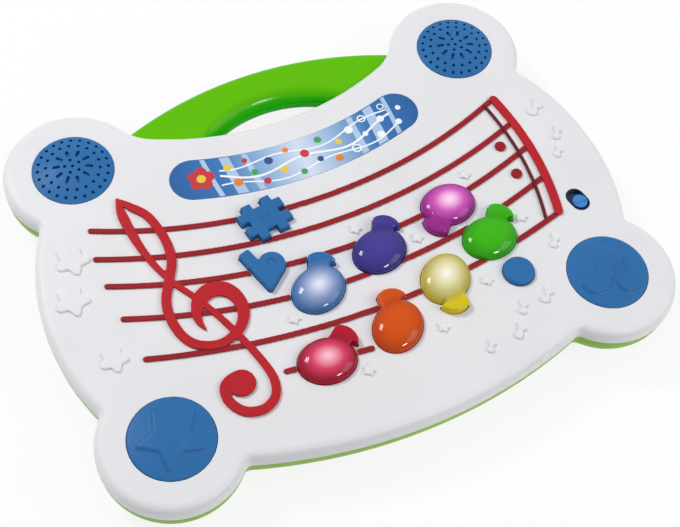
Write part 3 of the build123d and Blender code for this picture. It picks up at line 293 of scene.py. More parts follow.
def label_film():
    """Printed film under gloss laminate: blue ends that fade to a pale sky in the middle."""
    material, tree = new_material("printed_film_gloss_blue")
    place = add(tree, "ShaderNodeTexCoord").outputs["Object"]
    along = add(tree, "ShaderNodeSeparateXYZ", {"Vector": place})
    share = add(tree, "ShaderNodeMapRange", {
        "Value": along.outputs["X"], "From Min": label_from, "From Max": label_to})
    colour = add(tree, "ShaderNodeValToRGB", {"Fac": share.outputs["Result"]}, stops=[
        (0.0, "265F9E"), (1.0, "225C9C"), (0.2, "3B76B4"), (0.36, "8FB4DA"), (0.5, "D4DFEF"), (0.62, "9DBBDD"),
        (0.78, "3A75B3")])
    skin = add(tree, "ShaderNodeTexNoise", {"Vector": place, "Scale": 1 / (5 * mm)})
    gloss = add(tree, "ShaderNodeMapRange", {"Value": skin.outputs["Fac"], "To Min": 0.16, "To Max": 0.28})
    surface(tree, colour.outputs["Color"], gloss.outputs["Result"], IOR=1.5, Specular_IOR_Level=0.25)
    return material


lime_handle = handle_plastic()
knob_blue = knob_plastic()
laminate = board_laminate()
sleeve = cell_jacket()
label_blue = label_film()

finishes = {
    "top_shell": white_abs, "bottom_shell": green_abs, "battery_door": green_abs,
    "handle_upper": lime_handle, "handle_lower": lime_handle,
    "speaker_grille_left": blue_abs, "speaker_grille_right": blue_abs, "star_button": blue_abs,
    "notes_button": blue_abs, "sharp_button": blue_abs, "flat_button": blue_abs, "round_button": blue_abs,
    "switch_knob": knob_blue, "switch_lever": black_nylon, "power_switch_body": black_nylon,
    "label_strip": label_blue, "staff_lines": red_lines, "treble_clef": red_clef, "repeat_barline": red_clef,
    "main_pcb": laminate, "corner_pcb_left": laminate, "corner_pcb_right": laminate,
    "note_leds": lamp_epoxy, "pcb_parts": black_epoxy, "batteries": sleeve, "battery_contacts": nickel_steel,
    "battery_door_screws": zinc_steel, "shell_screws": zinc_steel, "pcb_screws": zinc_steel,
    "speaker_screws": zinc_steel, "rubber_feet": rubber, "internal_leads": lead_pvc,
}
for side in ("left", "right"):
    finishes[f"speaker_frame_{side}"] = zinc_steel
    finishes[f"speaker_cone_{side}"] = paper_pulp
    finishes[f"speaker_magnet_{side}"] = ferrite
for colour, place in notes.items():
    finishes[f"note_button_{colour}"] = note_plastic(colour, *place)
    finishes[f"dome_{colour}"] = silicone
for key in ("sharp", "flat", "round", "star", "notes"):
    finishes[f"dome_{key}"] = silicone
for name, finish in finishes.items():
    cad[name].data.materials.clear()
    cad[name].data.materials.append(finish)

# Camera at the photograph's place, by its axes in the board's frame
camera_at = (-0.20406, -0.35004, 0.66692)
camera_right = (0.90728, -0.41480, 0.06911)
camera_up = (0.32523, 0.79633, 0.50998)
camera_back = (-0.26658, -0.44022, 0.85741)
eye = bpy.data.cameras.new("camera")
eye.lens = 70.44
eye.sensor_width = 36.0
camera = bpy.data.objects.new("camera", eye)
bpy.context.scene.collection.objects.link(camera)
axes = Matrix((camera_right, camera_up, camera_back)).transposed()
camera.matrix_world = Matrix.Translation(camera_at) @ axes.to_4x4()
bpy.context.scene.camera = camera

# Soft studio light: a box behind on the left, a large fill on the right, and a small box in front that only glints,
# each by its place, its two sides and its power in watts
lamps = {
    "key_box": ((-0.60, 0.90, 1.25), (0.34, 0.34), 13.4),
    "fill_box": ((1.0, -0.7, 0.9), (0.8, 0.8), 7.4),
    "glint_box": ((0.47, -1.18, 1.05), (0.34, 0.22), 16.5),
}
for name, (at, size, power) in lamps.items():
    light = bpy.data.lights.new(name, "AREA")
    light.shape = "RECTANGLE"
    light.size, light.size_y = size
    light.energy = power
    box = bpy.data.objects.new(name, light)
    box.location = at
    box.rotation_euler = (-Vector(at)).to_track_quat("-Z", "Y").to_euler()
    box.visible_diffuse = name != "glint_box"
    bpy.context.scene.collection.objects.link(box)


def seen_directly(tree):
    """One for rays of the camera, of gloss and of glass, which see the white backdrop."""
    ray = add(tree, "ShaderNodeLightPath")
    either = add(tree, "ShaderNodeMath", {0: ray.outputs["Is Camera Ray"], 1: ray.outputs["Is Glossy Ray"]},
                 operation="MAXIMUM")
    return add(tree, "ShaderNodeMath", {0: either.outputs[0], 1: ray.outputs["Is Transmission Ray"]},
               operation="MAXIMUM").outputs[0]


studio = bpy.data.worlds.new("studio")
studio.use_nodes = True
studio.node_tree.nodes.clear()
room = add(studio.node_tree, "ShaderNodeBackground", {"Color": linear("F4F6FA"), "Strength": 0.48})
white = add(studio.node_tree, "ShaderNodeBackground", {"Color": (1, 1, 1, 1), "Strength": 1.0})
both = add(studio.node_tree, "ShaderNodeMixShader", {
    0: seen_directly(studio.node_tree), 1: room.outputs[0], 2: white.outputs[0]})
add(studio.node_tree, "ShaderNodeOutputWorld", {"Surface": both.outputs[0]})
bpy.context.scene.world = studio
bpy.context.scene.view_settings.view_transform = "Standard"


def floor_paper():
    """White seamless paper that keeps a soft part of the shadow."""
    material, tree = new_material("paper_seamless_white")
    place = add(tree, "ShaderNodeTexCoord").outputs["Object"]
    fibre = add(tree, "ShaderNodeTexNoise", {"Vector": place, "Scale": 400.0})
    tone = add(tree, "ShaderNodeValToRGB", {"Fac": fibre.outputs["Fac"]}, stops=[(0.3, "F6F6F6"), (0.7, "FAFAFA")])
    paper = add(tree, "ShaderNodeBsdfDiffuse", {"Color": tone.outputs["Color"]})
    bright = add(tree, "ShaderNodeEmission", {"Color": (1, 1, 1, 1), "Strength": 1.0})
    share = add(tree, "ShaderNodeMath", {0: seen_directly(tree), 1: 0.86}, operation="MULTIPLY")
    mixed = add(tree, "ShaderNodeMixShader", {0: share.outputs[0], 1: paper.outputs[0], 2: bright.outputs[0]})
    add(tree, "ShaderNodeOutputMaterial", {"Surface": mixed.outputs[0]})
    return material


def new_piece(name, shape, *materials):
    """Turns a finished bmesh into an object at the origin."""
    mesh = bpy.data.meshes.new(name)
    shape.to_mesh(mesh)
    shape.free()
    for material in materials:
        mesh.materials.append(material)
    piece = bpy.data.objects.new(name, mesh)
    bpy.context.scene.collection.objects.link(piece)
    return piece


def copy_of(node):
    """A merged copy of a CAD node's mesh."""
    shape = bmesh.new()
    shape.from_mesh(cad[node].data)
    bmesh.ops.remove_doubles(shape, verts=shape.verts, dist=0.001 * mm)
    return shape


def settle(piece, crease=None):
    """Makes the object that its modifiers give into a plain mesh, shaded smooth up to the crease angle."""
    graph = bpy.context.evaluated_depsgraph_get()
    mesh = bpy.data.meshes.new_from_object(piece.evaluated_get(graph))
    piece.modifiers.clear()
    piece.data = mesh
    mesh.shade_smooth()
    if crease:
        mesh.set_sharp_from_angle(angle=crease)
    return piece


def melted(name, shape, voxel, rounds, low, *materials):
    """Joins a shape's walls into one skin and lets every corner above low flow, as in thick moulded plastic."""
    piece = new_piece(name, shape, *materials)
    skin = piece.modifiers.new("skin", "REMESH")
    skin.mode = "VOXEL"
    skin.voxel_size = voxel
    settle(piece)
    flow = bmesh.new()
    flow.from_mesh(piece.data)
    free = [v for v in flow.verts if v.co.z > low]
    for _ in range(rounds):
        bmesh.ops.smooth_vert(flow, verts=free, factor=0.5, use_axis_x=True, use_axis_y=True, use_axis_z=True)
    flow.to_mesh(piece.data)
    flow.free()
    piece.data.shade_smooth()
    return piece


def stand_for(piece, body, slot, *replaced):
    """Sets a piece on a body in place of CAD nodes."""
    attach(piece, body)
    if replaced:
        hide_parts(*replaced)


# Note buttons: the head runs into its stem in one soft neck
for colour in notes:
    node = f"note_button_{colour}"
    note = melted(f"{node}_moulded", copy_of(node), 0.4 * mm, 16, board_top - 1 * mm, finishes[node])
    stand_for(note, f"note_{colour}", f"note_{colour}", node)

# Silicone domes on the circuit boards, each squeezed by the button above it
dome_foot = 23.0 * mm
for node in [name for name in cad if name.startswith("dome_")]:
    key = node.removeprefix("dome_")
    dome = melted(f"{node}_moulded", copy_of(node), 0.35 * mm, 3, dome_foot + 0.3 * mm, silicone)
    stand_for(dome, "board", "silicone", node)
    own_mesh(dome)


def eased(share):
    """A share from 0 to 1 with soft ends."""
    share = min(max(share, 0), 1)
    return share * share * (3 - 2 * share)


# Upper half of the handle: above the seam its inner side leans back and rolls over softly
handle_seam = 22.5 * mm
handle_half = 7.5 * mm
grip_middle = 23.9 * mm
grip_round = 72.0 * mm
lean = 4.2 * mm
lean_depth = 16.0 * mm
lean_half = 34.0 * mm
lean_fade = 12.0 * mm
lean_loss = 0.5
handle = melted("handle_upper_moulded", copy_of("handle_upper"), 0.6 * mm, 5, handle_seam + 0.4 * mm, lime_handle)
for v in handle.data.vertices:
    out = Vector((v.co.x, v.co.y - grip_middle, 0))
    near = 1 - eased((out.length - grip_round) / lean_depth)
    rise = min(max((v.co.z - handle_seam) / handle_half, 0), 1)
    ends = 1 - lean_loss * eased((abs(v.co.x) - lean_half) / lean_fade)
    v.co += out.normalized() * lean * near * rise * ends
stand_for(handle, "board", "lime_handle", "handle_upper")

# Sharp and flat buttons with worn-looking, rounded corners
for key in ("sharp", "flat"):
    node = f"{key}_button"
    sign = melted(f"{node}_moulded", copy_of(node), 0.35 * mm, 8, board_top - 1 * mm, blue_abs)
    stand_for(sign, f"{key}_key", "blue_plastic", node)

# Barline with soft upper edges, its thin bar and dots in their own reds; the thin bar's bowed line is in millimetres
thin_at = (122.1, 3.0)
thin_slope = 0.032
thin_bow = 0.0029
thin_reach = 2.4
bar_piece = melted("repeat_barline_moulded", copy_of("repeat_barline"), 0.3 * mm, 3, board_top + 0.2 * mm,
                   red_clef, red_thin, red_lines)
for face in bar_piece.data.polygons:
    x, y = face.center.x / mm, face.center.y / mm
    rise = y - thin_at[1]
    thin_x = thin_at[0] + thin_slope * rise - thin_bow * rise**2
    if abs(x - thin_x) < thin_reach:
        face.material_index = 1
    elif x < thin_x - thin_reach:
        face.material_index = 2
stand_for(bar_piece, "board", "red_relief", "repeat_barline")

# Treble clef: two swelling strokes and a ball, each point as x, y and width in millimetres
clef_height = 1.7 * mm
clef_main = [
    (-107.0, 60.6, 0.8), (-101.8, 53.0, 4.6), (-94.6, 43.0, 5.0), (-91.2, 26.0, 5.2), (-92.6, 11.5, 5.4),
    (-98.5, 0.0, 5.4), (-104.6, -12.0, 5.4), (-106.0, -24.0, 5.4), (-103.4, -36.0, 5.3), (-97.0, -43.4, 5.2),
    (-86.0, -46.6, 5.1), (-75.0, -42.4, 5.6), (-68.6, -34.0, 6.6), (-68.2, -24.0, 7.6), (-72.6, -16.6, 8.8),
    (-80.4, -14.2, 9.2), (-87.6, -17.6, 8.2), (-91.8, -24.0, 5.8), (-92.6, -30.0, 3.8), (-91.0, -36.0, 0.8),
]
clef_down = [
    (-107.0, 60.6, 0.8), (-107.6, 50.0, 5.4), (-107.0, 38.0, 5.4), (-105.2, 24.0, 4.4), (-101.6, 9.6, 3.7),
    (-96.4, -3.0, 3.4), (-88.8, -16.0, 3.4), (-81.6, -31.0, 3.6), (-75.0, -49.0, 4.0), (-70.4, -65.0, 4.4),
    (-69.0, -77.0, 4.8), (-72.4, -86.2, 5.0), (-80.6, -90.4, 5.2), (-90.0, -87.8, 5.4), (-95.4, -79.6, 5.4),
    (-94.6, -71.4, 5.8), (-88.6, -68.2, 6.4), (-85.0, -70.5, 6.0),
]
clef_ball = (-85.6, -72.2)
clef_ball_r = 7.7


def smooth_run(points, steps=10):
    """Points on a smooth line through the given ones, each with its width."""
    run = []
    last = len(points) - 1
    for i in range(last):
        a, b, c, d = (points[max(0, min(last, k))] for k in (i - 1, i, i + 1, i + 2))
        for step in range(steps):
            t = step / steps
            run.append([
                0.5 * (2 * q + (r - p) * t + (2 * p - 5 * q + 4 * r - s) * t**2 + (3 * q - p - 3 * r + s) * t**3)
                for p, q, r, s in zip(a, b, c, d)])
    run.append(list(points[last]))
    return run


def wall_strip(shape, left, right, low, high, closed=False, slot=0):
    """A closed bar between two lines of board points, from low to high."""
    rows = []
    for (lx, ly), (rx, ry) in zip(left, right):
        rows.append([shape.verts.new(p) for p in ((lx, ly, low), (lx, ly, high), (rx, ry, high), (rx, ry, low))])
    pairs = list(zip(rows, rows[1:] + rows[:1] if closed else rows[1:]))
    faces = [shape.faces.new((a[k], b[k], b[(k + 1) % 4], a[(k + 1) % 4])) for a, b in pairs for k in range(4)]
    if not closed:
        faces += [shape.faces.new(rows[0]), shape.faces.new(rows[-1][::-1])]
    for face in faces:
        face.material_index = slot


def disc(shape, x, y, r, low, high, sides=32, slot=0):
    """A closed round plate on the board."""
    ring = [(x + r * cos(2 * pi * k / sides), y + r * sin(2 * pi * k / sides)) for k in range(sides)]
    floor = [shape.verts.new((*p, low)) for p in ring]
    roof = [shape.verts.new((*p, high)) for p in ring]
    faces = [shape.faces.new(roof), shape.faces.new(floor[::-1])]
    faces += [shape.faces.new((floor[k - 1], floor[k], roof[k], roof[k - 1])) for k in range(sides)]
    for face in faces:
        face.material_index = slot


def both_sides(run):
    """The two edges of a run of points with widths, in metres."""
    left, right = [], []
    for i, (x, y, width) in enumerate(run):
        ax, ay, _ = run[max(0, i - 1)]
        bx, by, _ = run[min(len(run) - 1, i + 1)]
        reach = hypot(bx - ax, by - ay)
        nx, ny = (ay - by) / reach * width / 2, (bx - ax) / reach * width / 2
        left.append(((x + nx) * mm, (y + ny) * mm))
        right.append(((x - nx) * mm, (y - ny) * mm))
    return left, right


def circle_through(a, b, c):
    """Centre and radius of the circle through three points."""
    (ax, ay), (bx, by), (cx, cy) = a, b, c
    d = 2 * (ax * (by - cy) + bx * (cy - ay) + cx * (ay - by))
    x = ((ax**2 + ay**2) * (by - cy) + (bx**2 + by**2) * (cy - ay) + (cx**2 + cy**2) * (ay - by)) / d
    y = ((ax**2 + ay**2) * (cx - bx) + (bx**2 + by**2) * (ax - cx) + (cx**2 + cy**2) * (bx - ax)) / d
    return x, y, hypot(bx - x, by - y)


# Staff lines with soft upper edges, carried on under the clef; three points of each in millimetres
staff = [
    [(-127.0, 46.0), (0.0, 18.7), (127.0, 45.3)],
    [(-130.5, 27.6), (0.0, 1.4), (129.5, 25.3)],
    [(-130.5, 9.2), (0.0, -16.9), (130.0, 6.5)],
    [(-129.2, -13.0), (0.0, -37.2), (128.5, -16.2)],
    [(-126.5, -40.0), (0.0, -58.9), (124.0, -41.7)],
]
line_width = 3.4
line_height = 1.0 * mm
bridge_from = -118.0
bridge_long = 57.5
bridge_steps = 29
lines = copy_of("staff_lines")
bridges = bmesh.new()
for points in staff:
    x, y, r = circle_through(*points)
    run = []
    for k in range(bridge_steps + 1):
        along = bridge_from + bridge_long * k / bridge_steps
        run.append((along, y - (r**2 - (along - x) ** 2) ** 0.5, line_width))
    wall_strip(bridges, *both_sides(run), board_top, board_top + line_height)
bmesh.ops.recalc_face_normals(bridges, faces=bridges.faces)
carried = bpy.data.meshes.new("bridges")
bridges.to_mesh(carried)
bridges.free()
lines.from_mesh(carried)
staff_piece = melted("staff_lines_moulded", lines, 0.42 * mm, 2, board_top + 0.2 * mm, red_lines)
stand_for(staff_piece, "board", "red_line", "staff_lines")

clef = bmesh.new()
for strokes in (clef_main, clef_down):
    wall_strip(clef, *both_sides(smooth_run(strokes)), board_top, board_top + clef_height)
disc(clef, clef_ball[0] * mm, clef_ball[1] * mm, clef_ball_r * mm, board_top, board_top + clef_height, 64)
bmesh.ops.recalc_face_normals(clef, faces=clef.faces)
clef_piece = melted("treble_clef_moulded", clef, 0.3 * mm, 4, board_top + 0.2 * mm, red_clef)
stand_for(clef_piece, "board", "red_relief", "treble_clef")

# Printed pictures on the label, laid out along its curve: a flower, coloured balls, bubbles and white waves
arc_x, arc_y, arc_r = circle_through(*label_arc)
arc_start = atan2(label_arc[1][1] - arc_y, label_arc[1][0] - arc_x)


def on_label(along, across):
    """Board point, in millimetres, of a place along and across the label."""
    angle = arc_start + along / arc_r
    return arc_x + (arc_r - across) * cos(angle), arc_y + (arc_r - across) * sin(angle)


# Printing inks under the film's gloss: flat tones
ink_tones = {
    "white": ("F2F4F8", "F7F8FB"), "red": ("C02630", "C92C36"), "yellow": ("E3C23C", "EBCB48"),
    "green": ("2F9A50", "38A55A"), "orange": ("DD7A22", "E5842B"), "navy": ("22407C", "284886"),
    "sky": ("A6C2E2", "B2CBE7"),
}
inks = {name: moulded(f"ink_{name}_under_film", tones, (0.18, 0.28), 3 * mm, 0.01 * mm, IOR=1.5)
        for name, tones in ink_tones.items()}
ink_slot = {name: i for i, name in enumerate(inks)}
print_low = label_top - 0.05 * mm
print_high = label_top + 0.03 * mm
band_high = label_top + 0.01 * mm
ball_high = print_high + 0.02 * mm
wave_from = -50.0
wave_long = 112.0
wave_steps = 96
# In millimetres, waves by middle, swing, length, shift and width; balls by place along and across, radius and ink;
# bubbles by place and radius; bands by start, width and slant
waves = [(-7.5, 2.2, 58.0, 0.0, 1.0), (-1.0, 2.8, 58.0, 0.5, 1.4), (6.0, 2.2, 58.0, 1.0, 1.0)]
balls = [
    (-45.0, 5.6, 2.3, "yellow"), (-40.5, -5.4, 2.8, "orange"), (-34.0, 8.6, 1.7, "red"), (-30.0, -0.6, 2.1, "green"),
    (-24.5, -8.2, 2.2, "red"), (-20.0, 5.0, 2.6, "navy"), (-13.0, -3.6, 2.4, "yellow"), (-8.0, 9.0, 1.8, "orange"),
    (-3.0, -8.8, 2.0, "green"), (2.0, 2.8, 2.7, "red"), (9.0, -4.4, 1.9, "navy"), (13.5, 8.4, 2.3, "green"),
    (19.0, -8.6, 2.4, "orange"), (24.0, 1.6, 2.0, "yellow"),
]
bubbles = [
    (31.0, -7.6, 3.0), (34.0, 5.8, 3.8), (41.0, -1.8, 2.4), (45.5, 8.4, 2.6), (48.5, -7.4, 3.6), (55.0, 1.8, 3.2),
    (61.0, 8.6, 2.2), (62.5, -6.4, 2.8), (69.0, 1.4, 2.4),
]
flower_at = -61.0
petals = 5
petal_r = 3.5
petal_out = 4.6
petal_turn = 0.3
flower_heart = 2.7
bands = [
    (-52.0, 3.0, -9.0), (-42.0, 6.0, -7.0), (-30.0, 3.5, -5.0), (32.0, 4.0, 5.0), (43.0, 6.5, 7.0), (56.0, 3.0, 9.0),
]
band_half = 13.1
print_shape = bmesh.new()
for start, width, slant in bands:
    edges = []
    for lead in (0.0, width):
        spots = [on_label(start + lead + slant * k / 12, band_half * (k / 6 - 1)) for k in range(13)]
        edges.append([(x * mm, y * mm) for x, y in spots])
    wall_strip(print_shape, *edges, print_low, band_high, slot=ink_slot["sky"])
for middle, swing, length, shift, width in waves:
    run = []
    for k in range(wave_steps + 1):
        along = wave_from + wave_long * k / wave_steps
        run.append((*on_label(along, middle + swing * sin(2 * pi * (along / length + shift / 2))), width))
    wall_strip(print_shape, *both_sides(run), print_low, print_high, slot=ink_slot["white"])
for along, across, r, ink in balls:
    x, y = on_label(along, across)
    disc(print_shape, x * mm, y * mm, r * mm, print_low, ball_high, 28, ink_slot[ink])
for i, (along, across, r) in enumerate(bubbles):
    x, y = on_label(along, across)
    if i % 3:
        disc(print_shape, x * mm, y * mm, 0.7 * r * mm, print_low, ball_high, 28, ink_slot["white"])
        continue
    rings = [[((x + reach * cos(2 * pi * k / 32)) * mm, (y + reach * sin(2 * pi * k / 32)) * mm) for k in range(32)]
             for reach in (r, 0.68 * r)]
    wall_strip(print_shape, *rings, print_low, ball_high, True, ink_slot["white"])
for k in range(petals):
    angle = 2 * pi * k / petals + petal_turn
    x, y = on_label(flower_at + petal_out * cos(angle), petal_out * sin(angle))
    petal_high = print_high + (0.02 + 0.002 * k) * mm
    disc(print_shape, x * mm, y * mm, petal_r * mm, print_low, petal_high, 32, ink_slot["red"])
x, y = on_label(flower_at, 0)
disc(print_shape, x * mm, y * mm, flower_heart * mm, print_low, print_high + 0.04 * mm, 32, ink_slot["yellow"])
bmesh.ops.recalc_face_normals(print_shape, faces=print_shape.faces)
stand_for(new_piece("label_print", print_shape, *inks.values()), "board", "printed_label")


# Dark sleeve in the switch slot, a navy sheet of painted shade down the slot's walls
def stadium(inset):
    """Outline of the switch slot, drawn in by inset."""
    r = slot_wide / 2 - inset
    half = (slot_long - slot_wide) / 2
    points = []
    for k in range(48):
        angle = 2 * pi * k / 48
        u = r * cos(angle) + (half if cos(angle) > 0 else -half)
        v = r * sin(angle)
        points.append((slot_at[0] + u * cos(slot_turn) - v * sin(slot_turn),
                       slot_at[1] + u * sin(slot_turn) + v * cos(slot_turn)))
    return points


# Navy of the sleeve, painted shade of the slot's depth, with the blue buttons' skin
navy_slot_shade = moulded("navy_painted_slot_shade", ("10335E", "143A68"), (0.4, 0.5), 1.0 * mm, 0.03 * mm, IOR=1.54)
sleeve_shape = bmesh.new()
wall_strip(sleeve_shape, stadium(0.02 * mm), stadium(0.4 * mm), board_under + 0.1 * mm, board_top + 0.15 * mm, True)
bmesh.ops.recalc_face_normals(sleeve_shape, faces=sleeve_shape.faces)
stand_for(new_piece("switch_slot_shade_sleeve", sleeve_shape, navy_slot_shade), "board", "blue_plastic")

# Soft raised marks on the white shell, in millimetres and degrees: stars by place and reach, small eighth notes by
# place, size and turn
mark_height = 1.4 * mm
large_stars = [(-142.5, 31.8, 10.0), (-150.5, 7.8, 10.0), (-142.0, -33.7, 8.3)]
small_reach = 3.7
small_stars = [
    (-44.8, -47.5), (-20.5, -91.0), (28.0, -83.0), (64.0, -66.0), (40.0, -26.5), (10.0, -7.9), (85.0, 2.0),
    (102.0, -36.5),
]
quavers = [
    (147.5, 30.0, 11.0, -30.0), (150.5, 8.5, 8.0, -12.0), (144.5, -4.0, 7.0, -20.0), (112.0, -57.5, 8.0, -16.0),
    (91.0, -86.5, 9.5, -24.0), (74.5, -88.5, 7.5, -8.0), (66.0, -101.0, 8.5, -20.0), (47.0, -103.0, 7.0, -12.0),
]


def prism(shape, points, low, high):
    """A closed block over an outline of points in millimetres; gives back the corners of its roof."""
    floor = [shape.verts.new((x * mm, y * mm, low)) for x, y in points]
    roof = [shape.verts.new((x * mm, y * mm, high)) for x, y in points]
    shape.faces.new(roof)
    shape.faces.new(floor[::-1])
    for k in range(len(points)):
        shape.faces.new((floor[k - 1], floor[k], roof[k], roof[k - 1]))
    return roof


def set_down(points, x, y, turn):
    """The same points turned and moved to their place."""
    c, s = cos(radians(turn)), sin(radians(turn))
    return [(x + c * u - s * v, y + s * u + c * v) for u, v in points]


def puffed(name, outlines, rounds):
    """Raised marks with soft slopes over outlines on the board."""
    marks = bmesh.new()
    for points in outlines:
        prism(marks, points, board_top - 0.5 * mm, board_top + mark_height)
    bmesh.ops.recalc_face_normals(marks, faces=marks.faces)
    piece = melted(name, marks, 0.28 * mm, rounds, board_top - 0.1 * mm, white_abs)
    stand_for(piece, "board", "white_shell")


def star(x, y, reach, waist=0.62, blunt=0.2, first=-pi / 2):
    """Outline of a star; waist and blunt are shares of its reach: between two points, and the round of a point."""
    outline = []
    for k in range(5):
        turn = 2 * pi * k / 5 + first
        inner = reach * (1 - blunt)
        for tilt in (-1.2, -0.6, 0, 0.6, 1.2):
            outline.append((x + inner * cos(turn) + blunt * reach * cos(turn + tilt),
                            y + inner * sin(turn) + blunt * reach * sin(turn + tilt)))
        outline.append((x + waist * reach * cos(turn + pi / 5), y + waist * reach * sin(turn + pi / 5)))
    return outline


def oval(x, y, long, short):
    """Outline of an upright oval."""
    return [(x + long * cos(pi * k / 12), y + short * sin(pi * k / 12)) for k in range(24)]


def quaver(x, y, size, turn):
    """Outlines of an eighth note's head, stem and flag."""
    head = oval(-0.14, -0.36, 0.3, 0.25)
    stem = [(-0.1, -0.4), (0.14, -0.4), (0.14, 0.55), (-0.1, 0.55)]
    flag = [(-0.1, 0.58), (-0.1, 0.2), (0.26, -0.08), (0.44, 0.1), (0.3, 0.42)]
    return [set_down([(u * size, v * size) for u, v in part], x, y, turn) for part in (head, stem, flag)]


puffed("raised_stars", [star(*place) for place in large_stars], 26)
small_marks = [star(*place, small_reach) for place in small_stars]
for place in quavers:
    small_marks += quaver(*place)
puffed("raised_marks", small_marks, 12)

# Corner buttons: low domes with soft raised emblems, whose outlines are in millimetres from the button's middle
disc_round = 141.4 * mm
disc_crown = 36.4 * mm
emblem_raise = 1.6 * mm
emblems = {
    "star": [star(0.0, 0.0, 18.6, 0.55, 0.05, radians(30))],
    "notes": [
        oval(-9.7, -3.7, 8.6, 7.4), oval(7.5, -10.2, 7.4, 7.0),
        [(-4.6, 15.6), (-5.0, 4.0), (-3.6, -4.0), (3.0, -5.4), (4.4, 4.4), (3.0, 14.0)],
        [(-4.6, 15.6), (-4.8, 9.0), (4.0, 5.2), (13.2, 1.0), (15.0, 4.6), (11.8, 9.4), (2.0, 16.6)],
        [(11.0, 4.0), (15.0, 4.6), (14.4, -9.0), (10.6, -9.0)],
    ],
}


def dome_height(x, y):
    """Height of a corner button's dome at a place measured from its middle."""
    return disc_crown - disc_round + (disc_round**2 - x * x - y * y) ** 0.5


for key, outlines in emblems.items():
    node = f"{key}_button"
    low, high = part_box(node)
    x, y = (low[0] + high[0]) / 2, (low[1] + high[1]) / 2
    shape = copy_of(node)
    for v in shape.verts:
        v.co.z = min(v.co.z, dome_height(v.co.x - x, v.co.y - y))
    for outline in outlines:
        for v in prism(shape, [(x / mm + u, y / mm + w) for u, w in outline], board_top, disc_crown):
            v.co.z = dome_height(v.co.x - x, v.co.y - y) + emblem_raise
    emblem = melted(f"{node}_moulded", shape, 0.4 * mm, 22, board_top + 0.2 * mm, blue_abs)
    stand_for(emblem, f"{key}_key", "blue_plastic", node)

# Dust cloth behind each speaker grille, following its dome
grille_ball = 68.7 * mm
cloth_crown = 36.7 * mm
cloth_reach = 21.3 * mm
cloth_thick = 0.25 * mm
cloth_rings = 12
cloth_sides = 48
# Woven dust cloth: matt blue threads
dust_cloth = moulded("cloth_dust_blue", ("2C659F", "3470AC"), (0.85, 0.95), 0.5 * mm, 0.08 * mm, IOR=1.45)
for side, x in (("left", -back_lobe[0]), ("right", back_lobe[0])):
    cloth = bmesh.new()
    rings = []
    for step in range(cloth_rings + 1):
        r = cloth_reach * step / cloth_rings
        z = cloth_crown - grille_ball + (grille_ball**2 - r**2) ** 0.5
        turns = [2 * pi * k / cloth_sides for k in range(cloth_sides if step else 1)]
        rings.append([cloth.verts.new((x * mm + r * cos(turn), back_lobe[1] * mm + r * sin(turn), z))
                      for turn in turns])
    for inner, outer in zip(rings, rings[1:]):
        for k in range(cloth_sides):
            near = [inner[k - 1], inner[k]] if len(inner) > 1 else [inner[0]]
            cloth.faces.new([outer[k], *near[::-1], outer[k - 1]][::-1])
    bmesh.ops.recalc_face_normals(cloth, faces=cloth.faces)
    bmesh.ops.solidify(cloth, geom=cloth.faces[:], thickness=cloth_thick)
    bmesh.ops.recalc_face_normals(cloth, faces=cloth.faces)
    stand_for(new_piece(f"speaker_cloth_{side}", cloth, dust_cloth), "board", "black_plastic")


def sized_tree(name, *sizes):
    """An empty geometry tree with places going in, a shape coming out and named sizes; gives its size sockets too."""
    tree = bpy.data.node_groups.new(name, "GeometryNodeTree")
    tree.interface.new_socket("Places", in_out="INPUT", socket_type="NodeSocketGeometry")
    for size in sizes:
        tree.interface.new_socket(size, in_out="INPUT", socket_type="NodeSocketFloat")
    tree.interface.new_socket("Shape", in_out="OUTPUT", socket_type="NodeSocketGeometry")
    return tree, add(tree, "NodeGroupInput").outputs


def reckon(tree, operation, a, b):
    """Result of one sum on two sizes."""
    return add(tree, "ShaderNodeMath", {0: a, 1: b}, operation=operation).outputs[0]


def shifted(tree, shape, z):
    """A shape moved up by z."""
    move = add(tree, "ShaderNodeCombineXYZ", {"Z": z}).outputs[0]
    return add(tree, "GeometryNodeTransform", {"Geometry": shape, "Translation": move}).outputs[0]


def cylinder(tree, sides, radius, depth):
    """A closed cylinder about the origin."""
    return add(tree, "GeometryNodeMeshCylinder", {
        "Vertices": sides, "Radius": radius, "Depth": depth}).outputs["Mesh"]


def cut_away(tree, block, *cutters):
    """A shape with others cut out of it."""
    return add(tree, "GeometryNodeMeshBoolean", {"Mesh 1": block, "Mesh 2": list(cutters)},
               operation="DIFFERENCE").outputs["Mesh"]


def set_out(tree, places, shape, material, turn):
    """Ends a tree: the shape at every place, turned about its own axis by up to turn with a fixed seed."""
    spin = add(tree, "FunctionNodeRandomValue", {"Min": (0, 0, 0), "Max": (0, 0, turn), "Seed": 7},
               data_type="FLOAT_VECTOR").outputs[0]
    copies = add(tree, "GeometryNodeInstanceOnPoints", {
        "Points": places, "Instance": shape, "Rotation": spin}).outputs[0]
    plain = add(tree, "GeometryNodeRealizeInstances", {"Geometry": copies}).outputs[0]
    finished = add(tree, "GeometryNodeSetMaterial", {"Geometry": plain, "Material": material}).outputs[0]
    add(tree, "NodeGroupOutput", {"Shape": finished})


def grown(name, tree, places, sizes, material):
    """A plain mesh piece from a geometry tree run on points in metres."""
    points = bmesh.new()
    for place in places:
        points.verts.new(place)
    piece = new_piece(name, points, material)
    growth = piece.modifiers.new("growth", "NODES")
    growth.node_group = tree
    sockets = {item.name: item.identifier for item in tree.interface.items_tree if item.in_out == "INPUT"}
    for size, value in sizes.items():
        growth[sockets[size]] = value
    return settle(piece, radians(35))


